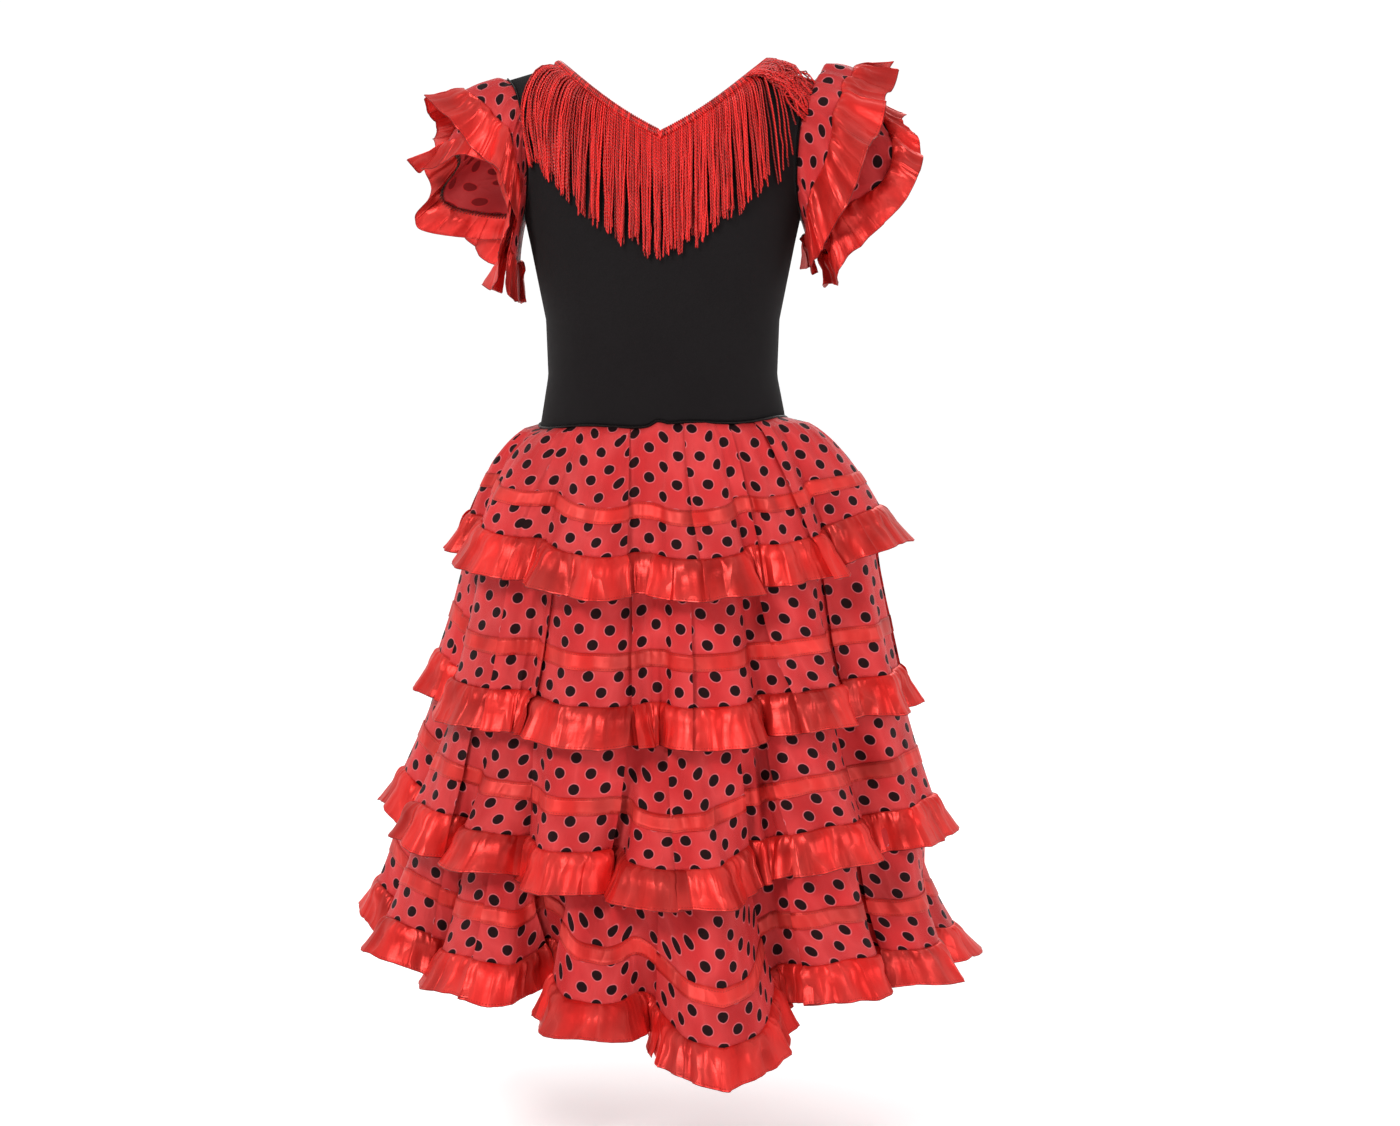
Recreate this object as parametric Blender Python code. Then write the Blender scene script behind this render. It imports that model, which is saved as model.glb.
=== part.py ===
"""A child's flamenco dress, filled out and open inside, as it hangs from its shoulders.

The frame is in metres with +Z up and the front of the dress at -Y. The origin is
between the shoulder tips. Left means -X. Angles run round the body from the centre
front, positive towards +X.
"""

import math

import bmesh
import bpy
from mathutils import Vector

# Cloth and seams
WALL = 0.0016
RIBBON_WALL = 0.0010
SEAM_GAP = 0.0003
SHARP_ANGLE = math.radians(40)

# Bodice: its sections from waist to shoulder, as half sizes about the centre line
WAIST_Z = -0.345
BODICE_SECTIONS = (
    # height, half_width, front_depth, back_depth
    (-0.345, 0.122, 0.093, 0.085),
    (-0.300, 0.114, 0.092, 0.082),
    (-0.245, 0.116, 0.095, 0.084),
    (-0.170, 0.131, 0.099, 0.090),
    (-0.145, 0.1365, 0.099, 0.091),
    (-0.090, 0.146, 0.097, 0.091),
    (0.020, 0.172, 0.090, 0.085),
)
OVAL_POWER = 2.3
NECK_HALF_WIDTH = 0.099
NECK_TOP_Z = 0.0056
SHOULDER_TIP = (0.152, -0.010)
SHOULDER_SLOPE = (NECK_TOP_Z - SHOULDER_TIP[1]) / (SHOULDER_TIP[0] - NECK_HALF_WIDTH)
SHOULDER_ROLL = 0.080
NECK_SAG = 0.006
FRONT_NECK_Z = -0.066
BACK_NECK_Z = -0.078
ARMHOLE = (
    # half_width, height, from the underarm to the shoulder tip
    (0.1365, -0.145),
    (0.1315, -0.127),
    (0.1300, -0.098),
    (0.1320, -0.064),
    (0.1375, -0.037),
    (0.1435, -0.021),
    (0.1520, -0.010),
)
NECK_COLUMNS = 4
NECK_CROWDING = 1.6
SHOULDER_COLUMNS = 2
SIDE_ROWS = 4

# Skirt: the lower edge of each dotted panel
PANEL_COLUMNS = 48
RUFFLE_STEPS = 2
RUFFLE_PERIOD = 4
RUFFLE_DEPTHS = (0.042, 0.040, 0.040, 0.037)
RUFFLE_FLARE = {"front": math.radians(8), "side": math.radians(11)}
RUFFLE_WAVE = 0.0085
RUFFLE_OUTWARD = 0.45
RUFFLE_UNEVEN = 0.35
RUFFLE_UNEVEN_STEP = 1.7
RUFFLE_GAP = 0.0005
RIBBON_WIDTH = 0.015
RIBBON_ABOVE_EDGE = 0.034
PANEL_TUCK = 0.0025
PANEL_TUCK_GAP = 0.0010
# how late a panel spreads on its way down: 1 is evenly, less is soon
PANEL_EASE = {"front": 1.9, "side": 1.4}
WAIST_PANEL_EASE = {"front": 0.9, "side": 0.5}
FLUTE_FLAT = 0.18
FLUTE_POINT = 0.5
TIERS = (
    # half_width, front_depth, back_depth, side_z, front_z, back_z
    (0.184, 0.136, 0.132, -0.438, -0.466, -0.462),
    (0.206, 0.154, 0.148, -0.590, -0.606, -0.602),
    (0.233, 0.168, 0.162, -0.724, -0.742, -0.738),
    (0.252, 0.182, 0.174, -0.848, -0.860, -0.858),
)
FLUTES = (
    # one table for each tier: azimuth, half_span, out, drop, fold
    (
        (-132, 18, 0.013, 0.004, 0.10),
        (-95, 18, 0.010, -0.002, 0.05),
        (-56, 17, 0.014, 0.004, 0.10),
        (-22, 15, 0.018, 0.006, 0.15),
        (12, 15, 0.018, 0.006, 0.15),
        (43, 15, 0.015, 0.003, 0.15),
        (80, 24, 0.030, -0.010, 0.05),
        (120, 17, 0.013, 0.002, 0.10),
        (154, 18, 0.015, 0.005, 0.10),
        (190, 18, 0.015, 0.005, 0.10),
    ),
    (
        (-131, 17, 0.018, 0.004, 0.12),
        (-94, 17, 0.020, -0.014, 0.10),
        (-57, 17, 0.020, 0.004, 0.15),
        (-20, 18, 0.026, 0.004, 0.15),
        (13, 13, 0.024, 0.004, 0.20),
        (40, 13, 0.022, -0.002, 0.20),
        (76, 22, 0.034, -0.002, 0.10),
        (114, 18, 0.018, 0.002, 0.12),
        (151, 18, 0.022, 0.005, 0.12),
        (189, 18, 0.022, 0.005, 0.12),
    ),
    (
        (-130, 17, 0.026, 0.005, 0.15),
        (-95, 18, 0.030, -0.026, 0.12),
        (-64, 13, 0.026, -0.010, 0.15),
        (-42, 12, 0.028, -0.002, 0.12),
        (-21, 12, 0.038, 0.002, 0.10),
        (4, 18, 0.054, 0.012, 0.08),
        (40, 15, 0.030, -0.010, 0.16),
        (76, 20, 0.038, -0.008, 0.12),
        (112, 17, 0.024, 0.000, 0.15),
        (150, 18, 0.030, 0.005, 0.18),
        (189, 18, 0.032, 0.005, 0.18),
    ),
    (
        (-136, 18, 0.036, 0.006, 0.18),
        (-100, 18, 0.040, -0.034, 0.12),
        (-68, 14, 0.034, -0.018, 0.18),
        (-40, 13, 0.044, -0.008, 0.22),
        (-25, 9, -0.010, -0.024, 0.00),
        (-12, 13, 0.070, 0.012, 0.08),
        (10, 16, 0.094, 0.044, 0.06),
        (38, 12, 0.040, -0.006, 0.20),
        (65, 13, 0.036, 0.006, 0.18),
        (92, 16, 0.040, 0.012, 0.15),
        (120, 16, 0.030, 0.004, 0.16),
        (156, 16, 0.040, 0.005, 0.18),
        (190, 17, 0.040, 0.005, 0.18),
    ),
)

# Sleeves: two nested flounces round each armhole
SIDES = {"left": -1, "right": 1}
SLEEVE_STEPS = 2
SLEEVE_ROWS = 3
SLEEVE_LAYERS = {
    # length, out, spread, droop at the top, the front or back, and the underarm
    "upper": (
        (0.046, 0.98, 0.12, 0.010),
        (0.064, 0.88, 0.42, 0.026),
        (0.014, 0.30, 0.95, 0.000),
    ),
    "lower": (
        (0.060, 0.96, -0.14, 0.018),
        (0.056, 0.86, 0.10, 0.040),
        (0.034, 0.56, 0.76, 0.006),
    ),
}
SLEEVE_LOBES = {
    # turn from the top by the front, half_span, push out, extra reach
    "left_upper": (
        (5, 28, 0.004, -0.004),
        (38, 26, -0.002, -0.006),
        (76, 34, 0.008, 0.010),
        (118, 28, -0.002, -0.006),
        (160, 30, 0.004, 0.000),
        (228, 28, 0.004, -0.004),
        (275, 34, 0.010, 0.010),
        (322, 26, -0.003, -0.006),
    ),
    "left_lower": (
        (20, 30, 0.006, 0.000),
        (95, 30, 0.010, 0.002),
        (140, 34, 0.000, -0.014),
        (190, 28, -0.002, 0.004),
        (250, 30, 0.006, 0.000),
        (315, 30, 0.006, 0.002),
    ),
    "right_upper": (
        (352, 26, 0.004, -0.004),
        (28, 24, -0.002, -0.006),
        (80, 40, 0.009, 0.020),
        (112, 26, 0.000, -0.006),
        (155, 30, 0.006, 0.000),
        (220, 28, 0.006, -0.004),
        (268, 32, 0.012, 0.010),
        (314, 26, 0.000, -0.006),
    ),
    "right_lower": (
        (25, 30, 0.006, 0.000),
        (88, 30, 0.008, 0.000),
        (140, 34, 0.002, -0.010),
        (192, 28, -0.002, 0.004),
        (255, 30, 0.006, 0.000),
        (320, 30, 0.006, 0.002),
    ),
}
SLEEVE_EDGE_DEPTH = 0.042
SLEEVE_EDGE_WAVE = 0.0080
SLEEVE_EDGE_FLARE = {"front": 0.0, "side": 0.0}
SLEEVE_LIFT = {"left": -0.012, "right": 0.009}
SLEEVE_TILT = {"left": 0.16, "right": 0.05}
SLEEVE_STAND = 0.0012
LOWER_LAYER_START = 0.25
LOWER_LAYER_GAP = 0.0008

# Fringe round the neck
HEADING_REACH = 0.97
HEADING_DROP = 0.0115
HEADING_WALL = 0.0024
HEADING_STAND = 0.0006
HEADING_STAND_SHOULDER = 0.0022
STRAND_LIFT = 0.0022
SHOULDER_LIFT = 0.004
STRAND_FAN = 0.27
STRAND_FAN_POWER = 2.2
SHOULDER_BEND = {"out": 0.55, "down": 1.4}
STRAND_TIP = 0.55
STRAND_JOINTS = (0.48, 1.0)
SHOULDER_JOINTS = (0.12, 0.30, 0.60, 1.0)
SHOULDER_STRANDS_FROM = 0.040
FRONT_STRANDS = 52
BACK_STRANDS = 32
FRINGE_DEPTH = 0.119
FRINGE_RISE = (0.35, 3.2)
TANGENT_STEP = 0.0005

COLOURS = {
    # red, green, blue, roughness
    "knit": (0.012, 0.010, 0.011, 0.85),
    "dotted": (0.62, 0.045, 0.055, 0.65),
    "satin": (0.72, 0.030, 0.025, 0.32),
    "fringe": (0.70, 0.030, 0.030, 0.55),
}


def clear_scene():
    """Removes every object of the scene."""
    for thing in list(bpy.data.objects):
        bpy.data.objects.remove(thing, do_unlink=True)


def mix(a, b, t):
    """The value at share t of the way from a to b."""
    return a + (b - a) * t


def section(z):
    """Half width, front depth and back depth of the bodice at a height."""
    rows = BODICE_SECTIONS
    z = min(max(z, rows[0][0]), rows[-1][0])
    k = max(i for i in range(len(rows) - 1) if rows[i][0] <= z)
    f = (z - rows[k][0]) / (rows[k + 1][0] - rows[k][0])
    return [mix(a, b, f) for a, b in zip(rows[k][1:], rows[k + 1][1:])]


def torso(x, z, side):
    """The bodice's outer surface over x, z: side is -1 for the front, 1 for the back."""
    half_width, front, back = section(z)
    across = min(abs(x) / half_width, 1.0)
    ridge = NECK_TOP_Z - (abs(x) - NECK_HALF_WIDTH) * SHOULDER_SLOPE
    below = min(max((ridge - z) / SHOULDER_ROLL, 0.0), 1.0)
    roll = math.sqrt(max(1 - (1 - below) ** 2, 0.0))
    depth = (front if side < 0 else back) * roll
    depth *= (1 - across**OVAL_POWER) ** (1 / OVAL_POWER)
    return Vector((x, side * max(depth, SEAM_GAP / 2), z))


def neck_line(f, neck_z):
    """The V neck's edge from the shoulder, f = 0, to the centre, f = 1."""
    sag = NECK_SAG * math.sin(math.pi * f)
    return mix(NECK_HALF_WIDTH, 0.0, f), mix(NECK_TOP_Z, neck_z, f) - sag


def around(x, z):
    """The angle round the torso, from the centre line, of a point at x, z."""
    return math.asin(min(abs(x) / section(z)[0], 1.0))


def side_edge(r):
    """Angle and height of row r on a panel's side: the side seam, then the armhole."""
    if r < SIDE_ROWS:
        return math.pi / 2, mix(WAIST_Z, ARMHOLE[0][1], r / SIDE_ROWS)
    x, z = ARMHOLE[r - SIDE_ROWS]
    return around(x, z), z


def top_edge(c, neck_z):
    """Angle and height of column c on a panel's top: the shoulder seam, then the neck."""
    if c <= SHOULDER_COLUMNS:
        f = c / SHOULDER_COLUMNS
        x = mix(SHOULDER_TIP[0], NECK_HALF_WIDTH, f)
        z = mix(SHOULDER_TIP[1], NECK_TOP_Z, f)
    else:
        x, z = neck_line(((c - SHOULDER_COLUMNS) / NECK_COLUMNS) ** NECK_CROWDING, neck_z)
    return around(x, z), z


def bodice_points(side, neck_z):
    """Outer points of a bodice panel, columns from the -X side seam to the +X one.

    Each half is a patch between four edges: side seam with armhole, centre line,
    waist, and shoulder with neck.
    """
    half, rows = SHOULDER_COLUMNS + NECK_COLUMNS, SIDE_ROWS + len(ARMHOLE) - 1
    columns = []
    for c in range(2 * half + 1):
        sign, k = (-1, c) if c <= half else (1, 2 * half - c)
        u = k / half
        waist, top = (math.pi / 2 * (1 - u), WAIST_Z), top_edge(k, neck_z)
        tip, middle_top = top_edge(0, neck_z), top_edge(half, neck_z)
        column = []
        for r in range(rows + 1):
            w = r / rows
            edge, centre = side_edge(r), (0.0, mix(WAIST_Z, neck_z, w))
            angle, z = [
                mix(edge[i], centre[i], u)
                + mix(waist[i], top[i], w)
                - mix(waist[i], mix(tip[i], middle_top[i], u), w)
                for i in (0, 1)
            ]
            x = sign * section(z)[0] * math.sin(angle)
            column.append(torso(x, z, side))
        columns.append(column)
    return columns


def sheet_normals(points, closed, facing):
    """Unit normals of a grid of points, turned so that the first looks along facing."""
    last = len(points) - 1
    normals = []
    for c, column in enumerate(points):
        before = points[c - 1] if c or closed else column
        after = points[(c + 1) % (last + 1)] if c < last or closed else column
        row = []
        for r in range(len(column)):
            up, low = min(r + 1, len(column) - 1), max(r - 1, 0)
            across = after[r] - before[r]
            along = column[up] - column[low]
            row.append(across.cross(along).normalized())
        normals.append(row)
    if normals[0][0].dot(facing) < 0:
        normals = [[-n for n in column] for column in normals]
    return normals


def moved(points, normals, distance):
    """A grid of points moved along its normals."""
    return [
        [p + n * distance for p, n in zip(column, way)]
        for column, way in zip(points, normals)
    ]


def wall(name, outer, inner, closed, colour, finish=None):
    """One closed body between two grids of points: a grid mesh, extruded once."""
    columns, rows = len(outer), len(outer[0])
    across = columns if closed else columns - 1
    bm = bmesh.new()
    bmesh.ops.create_grid(bm, x_segments=across, y_segments=rows - 1, size=1)
    column_of = bm.verts.layers.int.new("column")
    row_of = bm.verts.layers.int.new("row")
    for v in bm.verts:
        v[column_of] = round((v.co.x + 1) / 2 * across) % columns
        v[row_of] = round((v.co.y + 1) / 2 * (rows - 1))
        v.co = outer[v[column_of]][v[row_of]]
    bmesh.ops.remove_doubles(bm, verts=bm.verts[:], dist=0.00001)
    made = bmesh.ops.extrude_face_region(bm, geom=bm.faces[:])["geom"]
    for v in made:
        if isinstance(v, bmesh.types.BMVert):
            v.co = inner[v[column_of]][v[row_of]]
    bmesh.ops.recalc_face_normals(bm, faces=bm.faces[:])
    if finish:
        finish(bm, column_of, row_of)
    bm.verts.layers.int.remove(bm.verts.layers.int["column"])
    bm.verts.layers.int.remove(bm.verts.layers.int["row"])
    mesh = bpy.data.meshes.new(name)
    bm.to_mesh(mesh)
    bm.free()
    mesh.shade_smooth()
    mesh.set_sharp_from_angle(angle=SHARP_ANGLE)
    mesh.materials.append(colour)
    thing = bpy.data.objects.new(name, mesh)
    bpy.data.collections["flamenco_dress"].objects.link(thing)
    return thing


def material(name):
    """A material of its own for one cloth of COLOURS."""
    made = bpy.data.materials.new(name)
    made.use_nodes = True
    shader = made.node_tree.nodes["Principled BSDF"]
    red, green, blue, rough = COLOURS[name]
    shader.inputs["Base Color"].default_value = (red, green, blue, 1)
    shader.inputs["Roughness"].default_value = rough
    shader.inputs["Metallic"].default_value = 0
    return made


def bodice_panel(name, side, neck_z, colour):
    """A front or back panel; its seams lie in the plane between the two panels."""
    outer = bodice_points(side, neck_z)
    normals = sheet_normals(outer, False, Vector((-1, 0, 0)))
    for column, way in zip(outer, normals):
        for p, n in zip(column, way):
            if abs(p.y) < SEAM_GAP:
                n.y = 0
                n.normalize()
    inner = moved(outer, normals, -WALL)
    wall(name, outer, inner, False, colour)
    return outer, inner


def flute_form(tier, angle):
    """What the flutes of a tier add at an angle: out, drop, and turn in degrees."""
    out = drop = turn = 0.0
    for azimuth, half_span, push, lower, fold in FLUTES[tier]:
        x = ((angle - azimuth + 180) % 360 - 180) / half_span
        if abs(x) < 1:
            side = max(abs(x) - FLUTE_FLAT, 0) / (1 - FLUTE_FLAT)
            share = 1 - side * side * (3 - 2 * side)
            out += push * share
            drop += lower * mix(share, 1 - abs(x), FLUTE_POINT)
            turn += fold * half_span * math.sin(math.pi * x)
    return out, drop, turn


def panel_edge(tier, angle):
    """A point on the lower edge of a tier's dotted panel."""
    half_width, front, back, side_z, front_z, back_z = TIERS[tier]
    out, drop, turn = flute_form(tier, angle)
    a = math.radians(angle + turn)
    depth, middle_z = (front, front_z) if math.cos(a) > 0 else (back, back_z)
    way = Vector((math.sin(a) / half_width, -math.cos(a) / depth, 0)).normalized()
    z = mix(side_z, middle_z, math.cos(a) ** 2) - drop
    return Vector((half_width * math.sin(a), -depth * math.cos(a), z)) + way * out


def panel_points(tier, top):
    """Outer points of a panel, from its top edge down to its lower edge."""
    columns = []
    for c in range(PANEL_COLUMNS):
        angle = 360 * c / PANEL_COLUMNS
        start, end = top[c], panel_edge(tier, angle)
        ease = PANEL_EASE if tier else WAIST_PANEL_EASE
        power = mix(ease["side"], ease["front"], math.cos(math.radians(angle)) ** 2)
        slant = (end - start).length
        ribbon_low = 1 - RIBBON_ABOVE_EDGE / slant
        ribbon_top = ribbon_low - RIBBON_WIDTH / slant
        column = []
        for v in (0, ribbon_top / 2, ribbon_top, ribbon_low, 1):
            point = start.lerp(end, v**power)
            point.z = mix(start.z, end.z, v)
            column.append(point)
        columns.append(column)
    return columns


def level(normals):
    """The same normals laid level, for a wall whose edges stay level."""
    return [[Vector((n.x, n.y, 0)).normalized() for n in column] for column in normals]


def ruffle(name, outer, inner, form, colour):
    """A gathered ruffle below the last row of a ring: flat at the seam, waved at its hem.

    form is its depth, the angle it stands out from the fall, and the wave's height.
    """
    depth, flare, wave = form
    top_out, top_in, low = [], [], []
    for c in range(len(outer) * RUFFLE_STEPS):
        k, step = divmod(c, RUFFLE_STEPS)
        after, f = (k + 1) % len(outer), step / RUFFLE_STEPS
        edge = outer[k][-1].lerp(outer[after][-1], f)
        edge_in = inner[k][-1].lerp(inner[after][-1], f)
        above = outer[k][-2].lerp(outer[after][-2], f)
        fall = (edge - above).normalized()
        out = (edge - edge_in).normalized()
        angle = mix(flare["front"], flare["side"], out.x * out.x)
        gap = fall * RUFFLE_GAP
        swing = mix(math.cos(2 * math.pi * c / RUFFLE_PERIOD), 1, RUFFLE_OUTWARD)
        size = wave * (1 + RUFFLE_UNEVEN * math.sin(c * RUFFLE_UNEVEN_STEP))
        way = fall * math.cos(angle) + out * math.sin(angle)
        top_out.append(edge + gap)
        top_in.append(edge_in + gap)
        low.append(edge + gap + way * depth + out * size * swing)
    face = [[seam, hem] for seam, hem in zip(top_out, low)]
    normals = sheet_normals(face, True, top_out[0] - top_in[0])
    back = [[seam, p[1] - n[1] * WALL] for seam, p, n in zip(top_in, face, normals)]
    wall(name, face, back, True, colour)


def tier(number, top, colours):
    """A dotted panel, its ribbon and its ruffle; gives the panel's surfaces and normals."""
    outer = panel_points(number, top)
    normals = level(sheet_normals(outer, True, Vector((0, -1, 0))))
    inner = moved(outer, normals, -WALL)
    name = f"tier_{number + 1}_"
    wall(name + "panel", outer, inner, True, colours["dotted"])
    band = [column[2:4] for column in outer]
    ways = [column[2:4] for column in normals]
    face = moved(band, ways, SEAM_GAP + RIBBON_WALL)
    wall(name + "ribbon", face, moved(band, ways, SEAM_GAP), True, colours["satin"])
    form = (RUFFLE_DEPTHS[number], RUFFLE_FLARE, RUFFLE_WAVE)
    ruffle(name + "ruffle", outer, inner, form, colours["satin"])
    return inner, normals


def waist_point(angle):
    """A point just under the bodice's lower edge."""
    a = math.radians(angle)
    half_width, front, back = section(WAIST_Z)
    depth = front if math.cos(a) > 0 else back
    power = 2 / OVAL_POWER
    x = half_width * math.copysign(abs(math.sin(a)) ** power, math.sin(a))
    y = -depth * math.copysign(abs(math.cos(a)) ** power, math.cos(a))
    return Vector((x, y, WAIST_Z - SEAM_GAP))


def skirt(colours):
    """Four tiers, each hung just behind the lower edge of the one above."""
    top = [waist_point(360 * c / PANEL_COLUMNS) for c in range(PANEL_COLUMNS)]
    for number in range(len(TIERS)):
        inner, normals = tier(number, top, colours)
        top = []
        for column, ways in zip(inner, normals):
            low, above = column[-1], column[-2]
            tuck = low.lerp(above, PANEL_TUCK / (above - low).length)
            top.append(tuck - ways[-1] * PANEL_TUCK_GAP)


def armhole_ring(front, back, side):
    """Middle points of an armhole's edge: from the top, by the front, round the back."""
    edges = []
    for outer, inner in (front, back):
        column = 0 if side < 0 else -1
        middles = [(p + q) / 2 for p, q in zip(outer[column], inner[column])]
        edges.append(middles[: SIDE_ROWS - 1 : -1])
    ahead, behind = edges
    top, under = (ahead[0] + behind[0]) / 2, (ahead[-1] + behind[-1]) / 2
    return [top] + ahead[1:-1] + [under] + behind[-2:0:-1]


def blend(layer, turn):
    """A sleeve layer's numbers at a turn round the armhole, 0 at the top."""
    top, middle, under = SLEEVE_LAYERS[layer]
    end = top if math.cos(turn) > 0 else under
    share = math.cos(turn) ** 2
    return [mix(m, e, share) for m, e in zip(middle, end)]


def lobes(name, turn):
    """What a flounce's lobes add at a turn in degrees: push out, and extra reach."""
    push = reach = 0.0
    for centre, half_span, out, longer in SLEEVE_LOBES[name]:
        x = ((turn - centre + 180) % 360 - 180) / half_span
        if abs(x) < 1:
            share = math.cos(math.pi / 2 * x) ** 2
            push += out * share
            reach += longer * share
    return push, reach


def sleeve_points(side_name, layer, roots, radials):
    """Outer points of one flounce, from its root on the armhole to its satin edge."""
    side = SIDES[side_name]
    columns = []
    for k, (root, radial) in enumerate(zip(roots, radials)):
        turn = math.atan2(abs(radial.y), radial.z)
        length, out, spread, droop = blend(layer, turn)
        push, reach = lobes(f"{side_name}_{layer}", 360 * k / len(roots))
        length = length * (1 + SLEEVE_TILT[side_name] * radial.y) + reach
        way = Vector((side * out, radial.y * spread, radial.z * spread)).normalized()
        lift = SLEEVE_LIFT[side_name] * max(math.cos(turn), 0)
        column = []
        for r in range(SLEEVE_ROWS + 1):
            s = r / SLEEVE_ROWS
            point = root + way * length * s + radial * push * s * s
            point.z += lift * s - droop * s * s
            column.append(point)
        columns.append(column)
    return columns


def flounce(name, columns, colours):
    """A sleeve's dotted flounce and its satin edge; gives its inner face and normals."""
    normals = sheet_normals(columns, True, Vector((0, 0, 1)))
    inner = moved(columns, normals, -WALL)
    wall(name, columns, inner, True, colours["dotted"])
    edge = (SLEEVE_EDGE_DEPTH, SLEEVE_EDGE_FLARE, SLEEVE_EDGE_WAVE)
    ruffle(name + "_edge", columns, inner, edge, colours["satin"])
    return inner, normals


def sleeve(side_name, front, back, colours):
    """Two nested flounces round one armhole, the lower one rooted inside the upper."""
    side = SIDES[side_name]
    ring = armhole_ring(front, back, side)
    points = []
    for k in range(len(ring)):
        for step in range(SLEEVE_STEPS):
            points.append(ring[k].lerp(ring[(k + 1) % len(ring)], step / SLEEVE_STEPS))
    centre = sum(points, Vector()) / len(points)
    radials = [Vector((0, p.y - centre.y, p.z - centre.z)).normalized() for p in points]
    stand = Vector((side * SLEEVE_STAND, 0, 0))
    roots = [p + stand + radial * WALL / 2 for p, radial in zip(points, radials)]
    columns = sleeve_points(side_name, "upper", roots, radials)
    inner, normals = flounce(f"sleeve_{side_name}_upper", columns, colours)
    roots = [
        column[0].lerp(column[1], LOWER_LAYER_START) - way[0] * LOWER_LAYER_GAP
        for column, way in zip(inner, normals)
    ]
    columns = sleeve_points(side_name, "lower", roots, radials)
    flounce(f"sleeve_{side_name}_lower", columns, colours)


def on_bodice(x, z, side, lift):
    """A point lifted off the bodice's surface over x, z."""
    across = torso(x + TANGENT_STEP, z, side) - torso(x - TANGENT_STEP, z, side)
    along = torso(x, z + TANGENT_STEP, side) - torso(x, z - TANGENT_STEP, side)
    normal = across.cross(along).normalized()
    if normal.y * side < 0 or (abs(normal.y) < 0.001 and normal.z < 0):
        normal = -normal
    return torso(x, z, side) + normal * lift


def draw_strand(bm, face, side, neck_z):
    """One strand drawn from a face of the heading's lower rim down to the fringe's edge."""
    middle = sum((v.co for v in face.verts), Vector()) / len(face.verts)
    corners = [v.co - middle for v in face.verts]
    reach = abs(middle.x) / NECK_HALF_WIDTH
    end_x = middle.x * (1 + STRAND_FAN * reach**STRAND_FAN_POWER)
    end_z = neck_z - FRINGE_DEPTH + FRINGE_RISE[0] * abs(end_x) + FRINGE_RISE[1] * end_x**2
    out, down = [mix(1, SHOULDER_BEND[way], reach * reach) for way in ("out", "down")]
    joints = SHOULDER_JOINTS if abs(middle.x) > SHOULDER_STRANDS_FROM else STRAND_JOINTS
    for s in joints:
        face = bmesh.ops.extrude_discrete_faces(bm, faces=[face])["faces"][0]
        lift = STRAND_LIFT + HEADING_WALL / 2 + SHOULDER_LIFT * reach * reach * (1 - s)
        x, z = mix(middle.x, end_x, s**out), mix(middle.z, end_z, s**down)
        centre = on_bodice(x, z, side, lift)
        for v, corner in zip(face.verts, corners):
            v.co = centre + corner * mix(1, STRAND_TIP, s)


def fringe(name, side, neck_z, strands, colour):
    """A heading cord on the neck edge, with strands drawn down from its lower rim."""
    columns = 2 * strands + 1
    outer, inner = [], []
    for c in range(columns + 1):
        f = c / columns * 2 - 1
        x, z = neck_line(1 - abs(f) * HEADING_REACH, neck_z)
        x = math.copysign(x, f)
        stand = mix(HEADING_STAND, HEADING_STAND_SHOULDER, (x / NECK_HALF_WIDTH) ** 2)
        heights = (z, z - HEADING_DROP)
        outer.append([on_bodice(x, h, side, stand + HEADING_WALL) for h in heights])
        inner.append([on_bodice(x, h, side, stand) for h in heights])

    def draw_strands(bm, column_of, row_of):
        rims = []
        for face in bm.faces:
            if all(v[row_of] == 1 for v in face.verts):
                ends = {v[column_of] for v in face.verts}
                if min(ends) % 2 == 0 and max(ends) - min(ends) == 1:
                    rims.append(face)
        for face in rims:
            draw_strand(bm, face, side, neck_z)

    wall(name, outer, inner, False, colour, draw_strands)


def build():
    clear_scene()
    collection = bpy.data.collections.new("flamenco_dress")
    bpy.context.scene.collection.children.link(collection)
    colours = {name: material(name) for name in COLOURS}
    front = bodice_panel("bodice_front", -1, FRONT_NECK_Z, colours["knit"])
    back = bodice_panel("bodice_back", 1, BACK_NECK_Z, colours["knit"])
    skirt(colours)
    for side_name in SIDES:
        sleeve(side_name, front, back, colours)
    fringe("fringe_front", -1, FRONT_NECK_Z, FRONT_STRANDS, colours["fringe"])
    fringe("fringe_back", 1, BACK_NECK_Z, BACK_STRANDS, colours["fringe"])


build()
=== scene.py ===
"""Looks of a child's flamenco dress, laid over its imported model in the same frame."""

import bisect
import math
import random

import bmesh
import bpy
from bpy.props import FloatProperty, FloatVectorProperty, IntProperty, PointerProperty
from bpy.types import Operator, Panel, PropertyGroup
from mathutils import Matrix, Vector, noise


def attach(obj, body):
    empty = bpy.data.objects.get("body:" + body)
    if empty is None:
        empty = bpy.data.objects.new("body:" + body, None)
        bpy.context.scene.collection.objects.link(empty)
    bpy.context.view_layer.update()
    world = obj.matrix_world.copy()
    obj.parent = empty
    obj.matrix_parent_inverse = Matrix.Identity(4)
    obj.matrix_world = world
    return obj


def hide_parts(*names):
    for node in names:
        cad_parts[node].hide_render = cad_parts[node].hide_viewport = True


bl_info = {
    "name": "Flamenco Dress",
    "version": (1, 0, 0),
    "blender": (4, 5, 0),
    "location": "3D View > Sidebar > Dress",
    "description": "Builds a tiered, dotted flamenco dress over its packed model",
    "category": "Object",
}

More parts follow.
